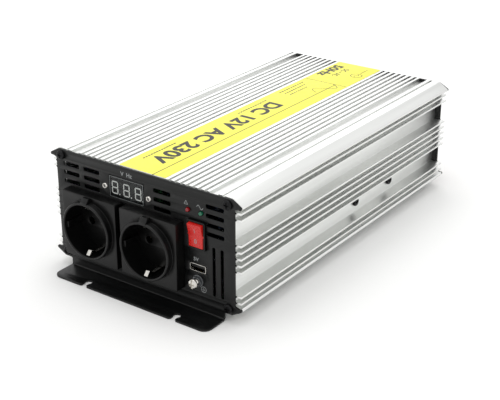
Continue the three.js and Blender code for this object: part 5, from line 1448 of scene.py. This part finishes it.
class INVERTER_OT_stage(Operator):
    """Set the floor, the lights and the camera"""
    bl_idname = "inverter.stage"
    bl_label = "Stage"

    def execute(self, context):
        scene = context.scene
        floor = level([rectangle(0, 0, 9000, 9000)], -1.0, 0.0, 0.0, 0)
        floor.transform(Matrix.Scale(MM, 4))
        mesh = as_mesh(floor, "floor")
        mesh.materials.append(finish("floor_paper"))
        ground = bpy.data.objects.new("floor", mesh)
        scene.collection.objects.link(ground)

        world = bpy.data.worlds.new("studio")
        world.use_nodes = True
        backdrop = world.node_tree.nodes["Background"]
        backdrop.inputs["Color"].default_value = (1, 1, 1, 1)
        backdrop.inputs["Strength"].default_value = 1.0
        scene.world = world
        add_light("key", (-0.3, 0.2, 1.9), (0, 0, 0.05), 1.4, 12)
        add_light("back_strip", (-1.3, 1.9, 1.1), (0, 0, 0.09), 1.6, 8, diffuse=False)

        camera = bpy.data.cameras.new("camera")
        camera.lens = 81.15
        camera.sensor_width = 36
        camera.clip_start = 0.01
        holder = bpy.data.objects.new("camera", camera)
        holder.location = (0.4746, -0.6809, 0.3927)
        holder.rotation_euler = [math.radians(angle) for angle in (65.70, 0.0, 35.64)]
        scene.collection.objects.link(holder)
        scene.camera = holder
        scene.view_settings.view_transform = "Standard"
        return {"FINISHED"}


# ---------- settings and panel ----------
class InverterSizes(PropertyGroup):
    fin_edge: FloatProperty(name="Fin edge", description="Rounding of the fins' long edges",
                            default=0.4 * MM, min=0.05 * MM, max=0.7 * MM, unit="LENGTH")


def colour_property(name, description, colour):
    return FloatVectorProperty(name=name, description=description, subtype="COLOR", size=3, min=0.0, max=1.0,
                               default=linear(colour)[:3])


class InverterColours(PropertyGroup):
    aluminium: colour_property("Aluminium", "Colour of the anodised shells", "#E8E9E7")
    plate: colour_property("Plates", "Colour of the powder coat", "#070808")
    plastic: colour_property("Black plastic", "Colour of the mouldings", "#050505")
    rocker: colour_property("Red plastic", "Colour of the rocker and the positive terminal", "#C21A14")
    label: colour_property("Label", "Colour of the printed film", "#F1EB62")
    ink: colour_property("Ink", "Colour of the print on the label", "#26251C")


OPERATORS = (
    INVERTER_OT_stage, INVERTER_OT_housing, INVERTER_OT_end_plates, INVERTER_OT_label, INVERTER_OT_screws,
    INVERTER_OT_sockets, INVERTER_OT_display, INVERTER_OT_switch, INVERTER_OT_lights,
    INVERTER_OT_charging_port, INVERTER_OT_earth_terminal, INVERTER_OT_signs, INVERTER_OT_fan,
    INVERTER_OT_terminals, INVERTER_OT_power_board,
)


class VIEW3D_PT_inverter(Panel):
    """Buttons that build the inverter, and its sizes and colours"""
    bl_label = "Inverter"
    bl_idname = "VIEW3D_PT_inverter"
    bl_space_type = "VIEW_3D"
    bl_region_type = "UI"
    bl_category = "Inverter"

    def draw(self, context):
        layout = self.layout
        for group in (context.scene.inverter_sizes, context.scene.inverter_colours):
            for key in group.__annotations__:
                layout.prop(group, key)
        for operator in OPERATORS:
            layout.operator(operator.bl_idname)


CLASSES = (InverterSizes, InverterColours, *OPERATORS, VIEW3D_PT_inverter)


def register():
    for entry in CLASSES:
        bpy.utils.register_class(entry)
    bpy.types.Scene.inverter_sizes = PointerProperty(type=InverterSizes)
    bpy.types.Scene.inverter_colours = PointerProperty(type=InverterColours)


def unregister():
    del bpy.types.Scene.inverter_colours
    del bpy.types.Scene.inverter_sizes
    for entry in reversed(CLASSES):
        bpy.utils.unregister_class(entry)


def main():
    register()
    for operator in OPERATORS:
        group, name = operator.bl_idname.split(".")
        getattr(getattr(bpy.ops, group), name)()


if __name__ == "__main__":
    main()
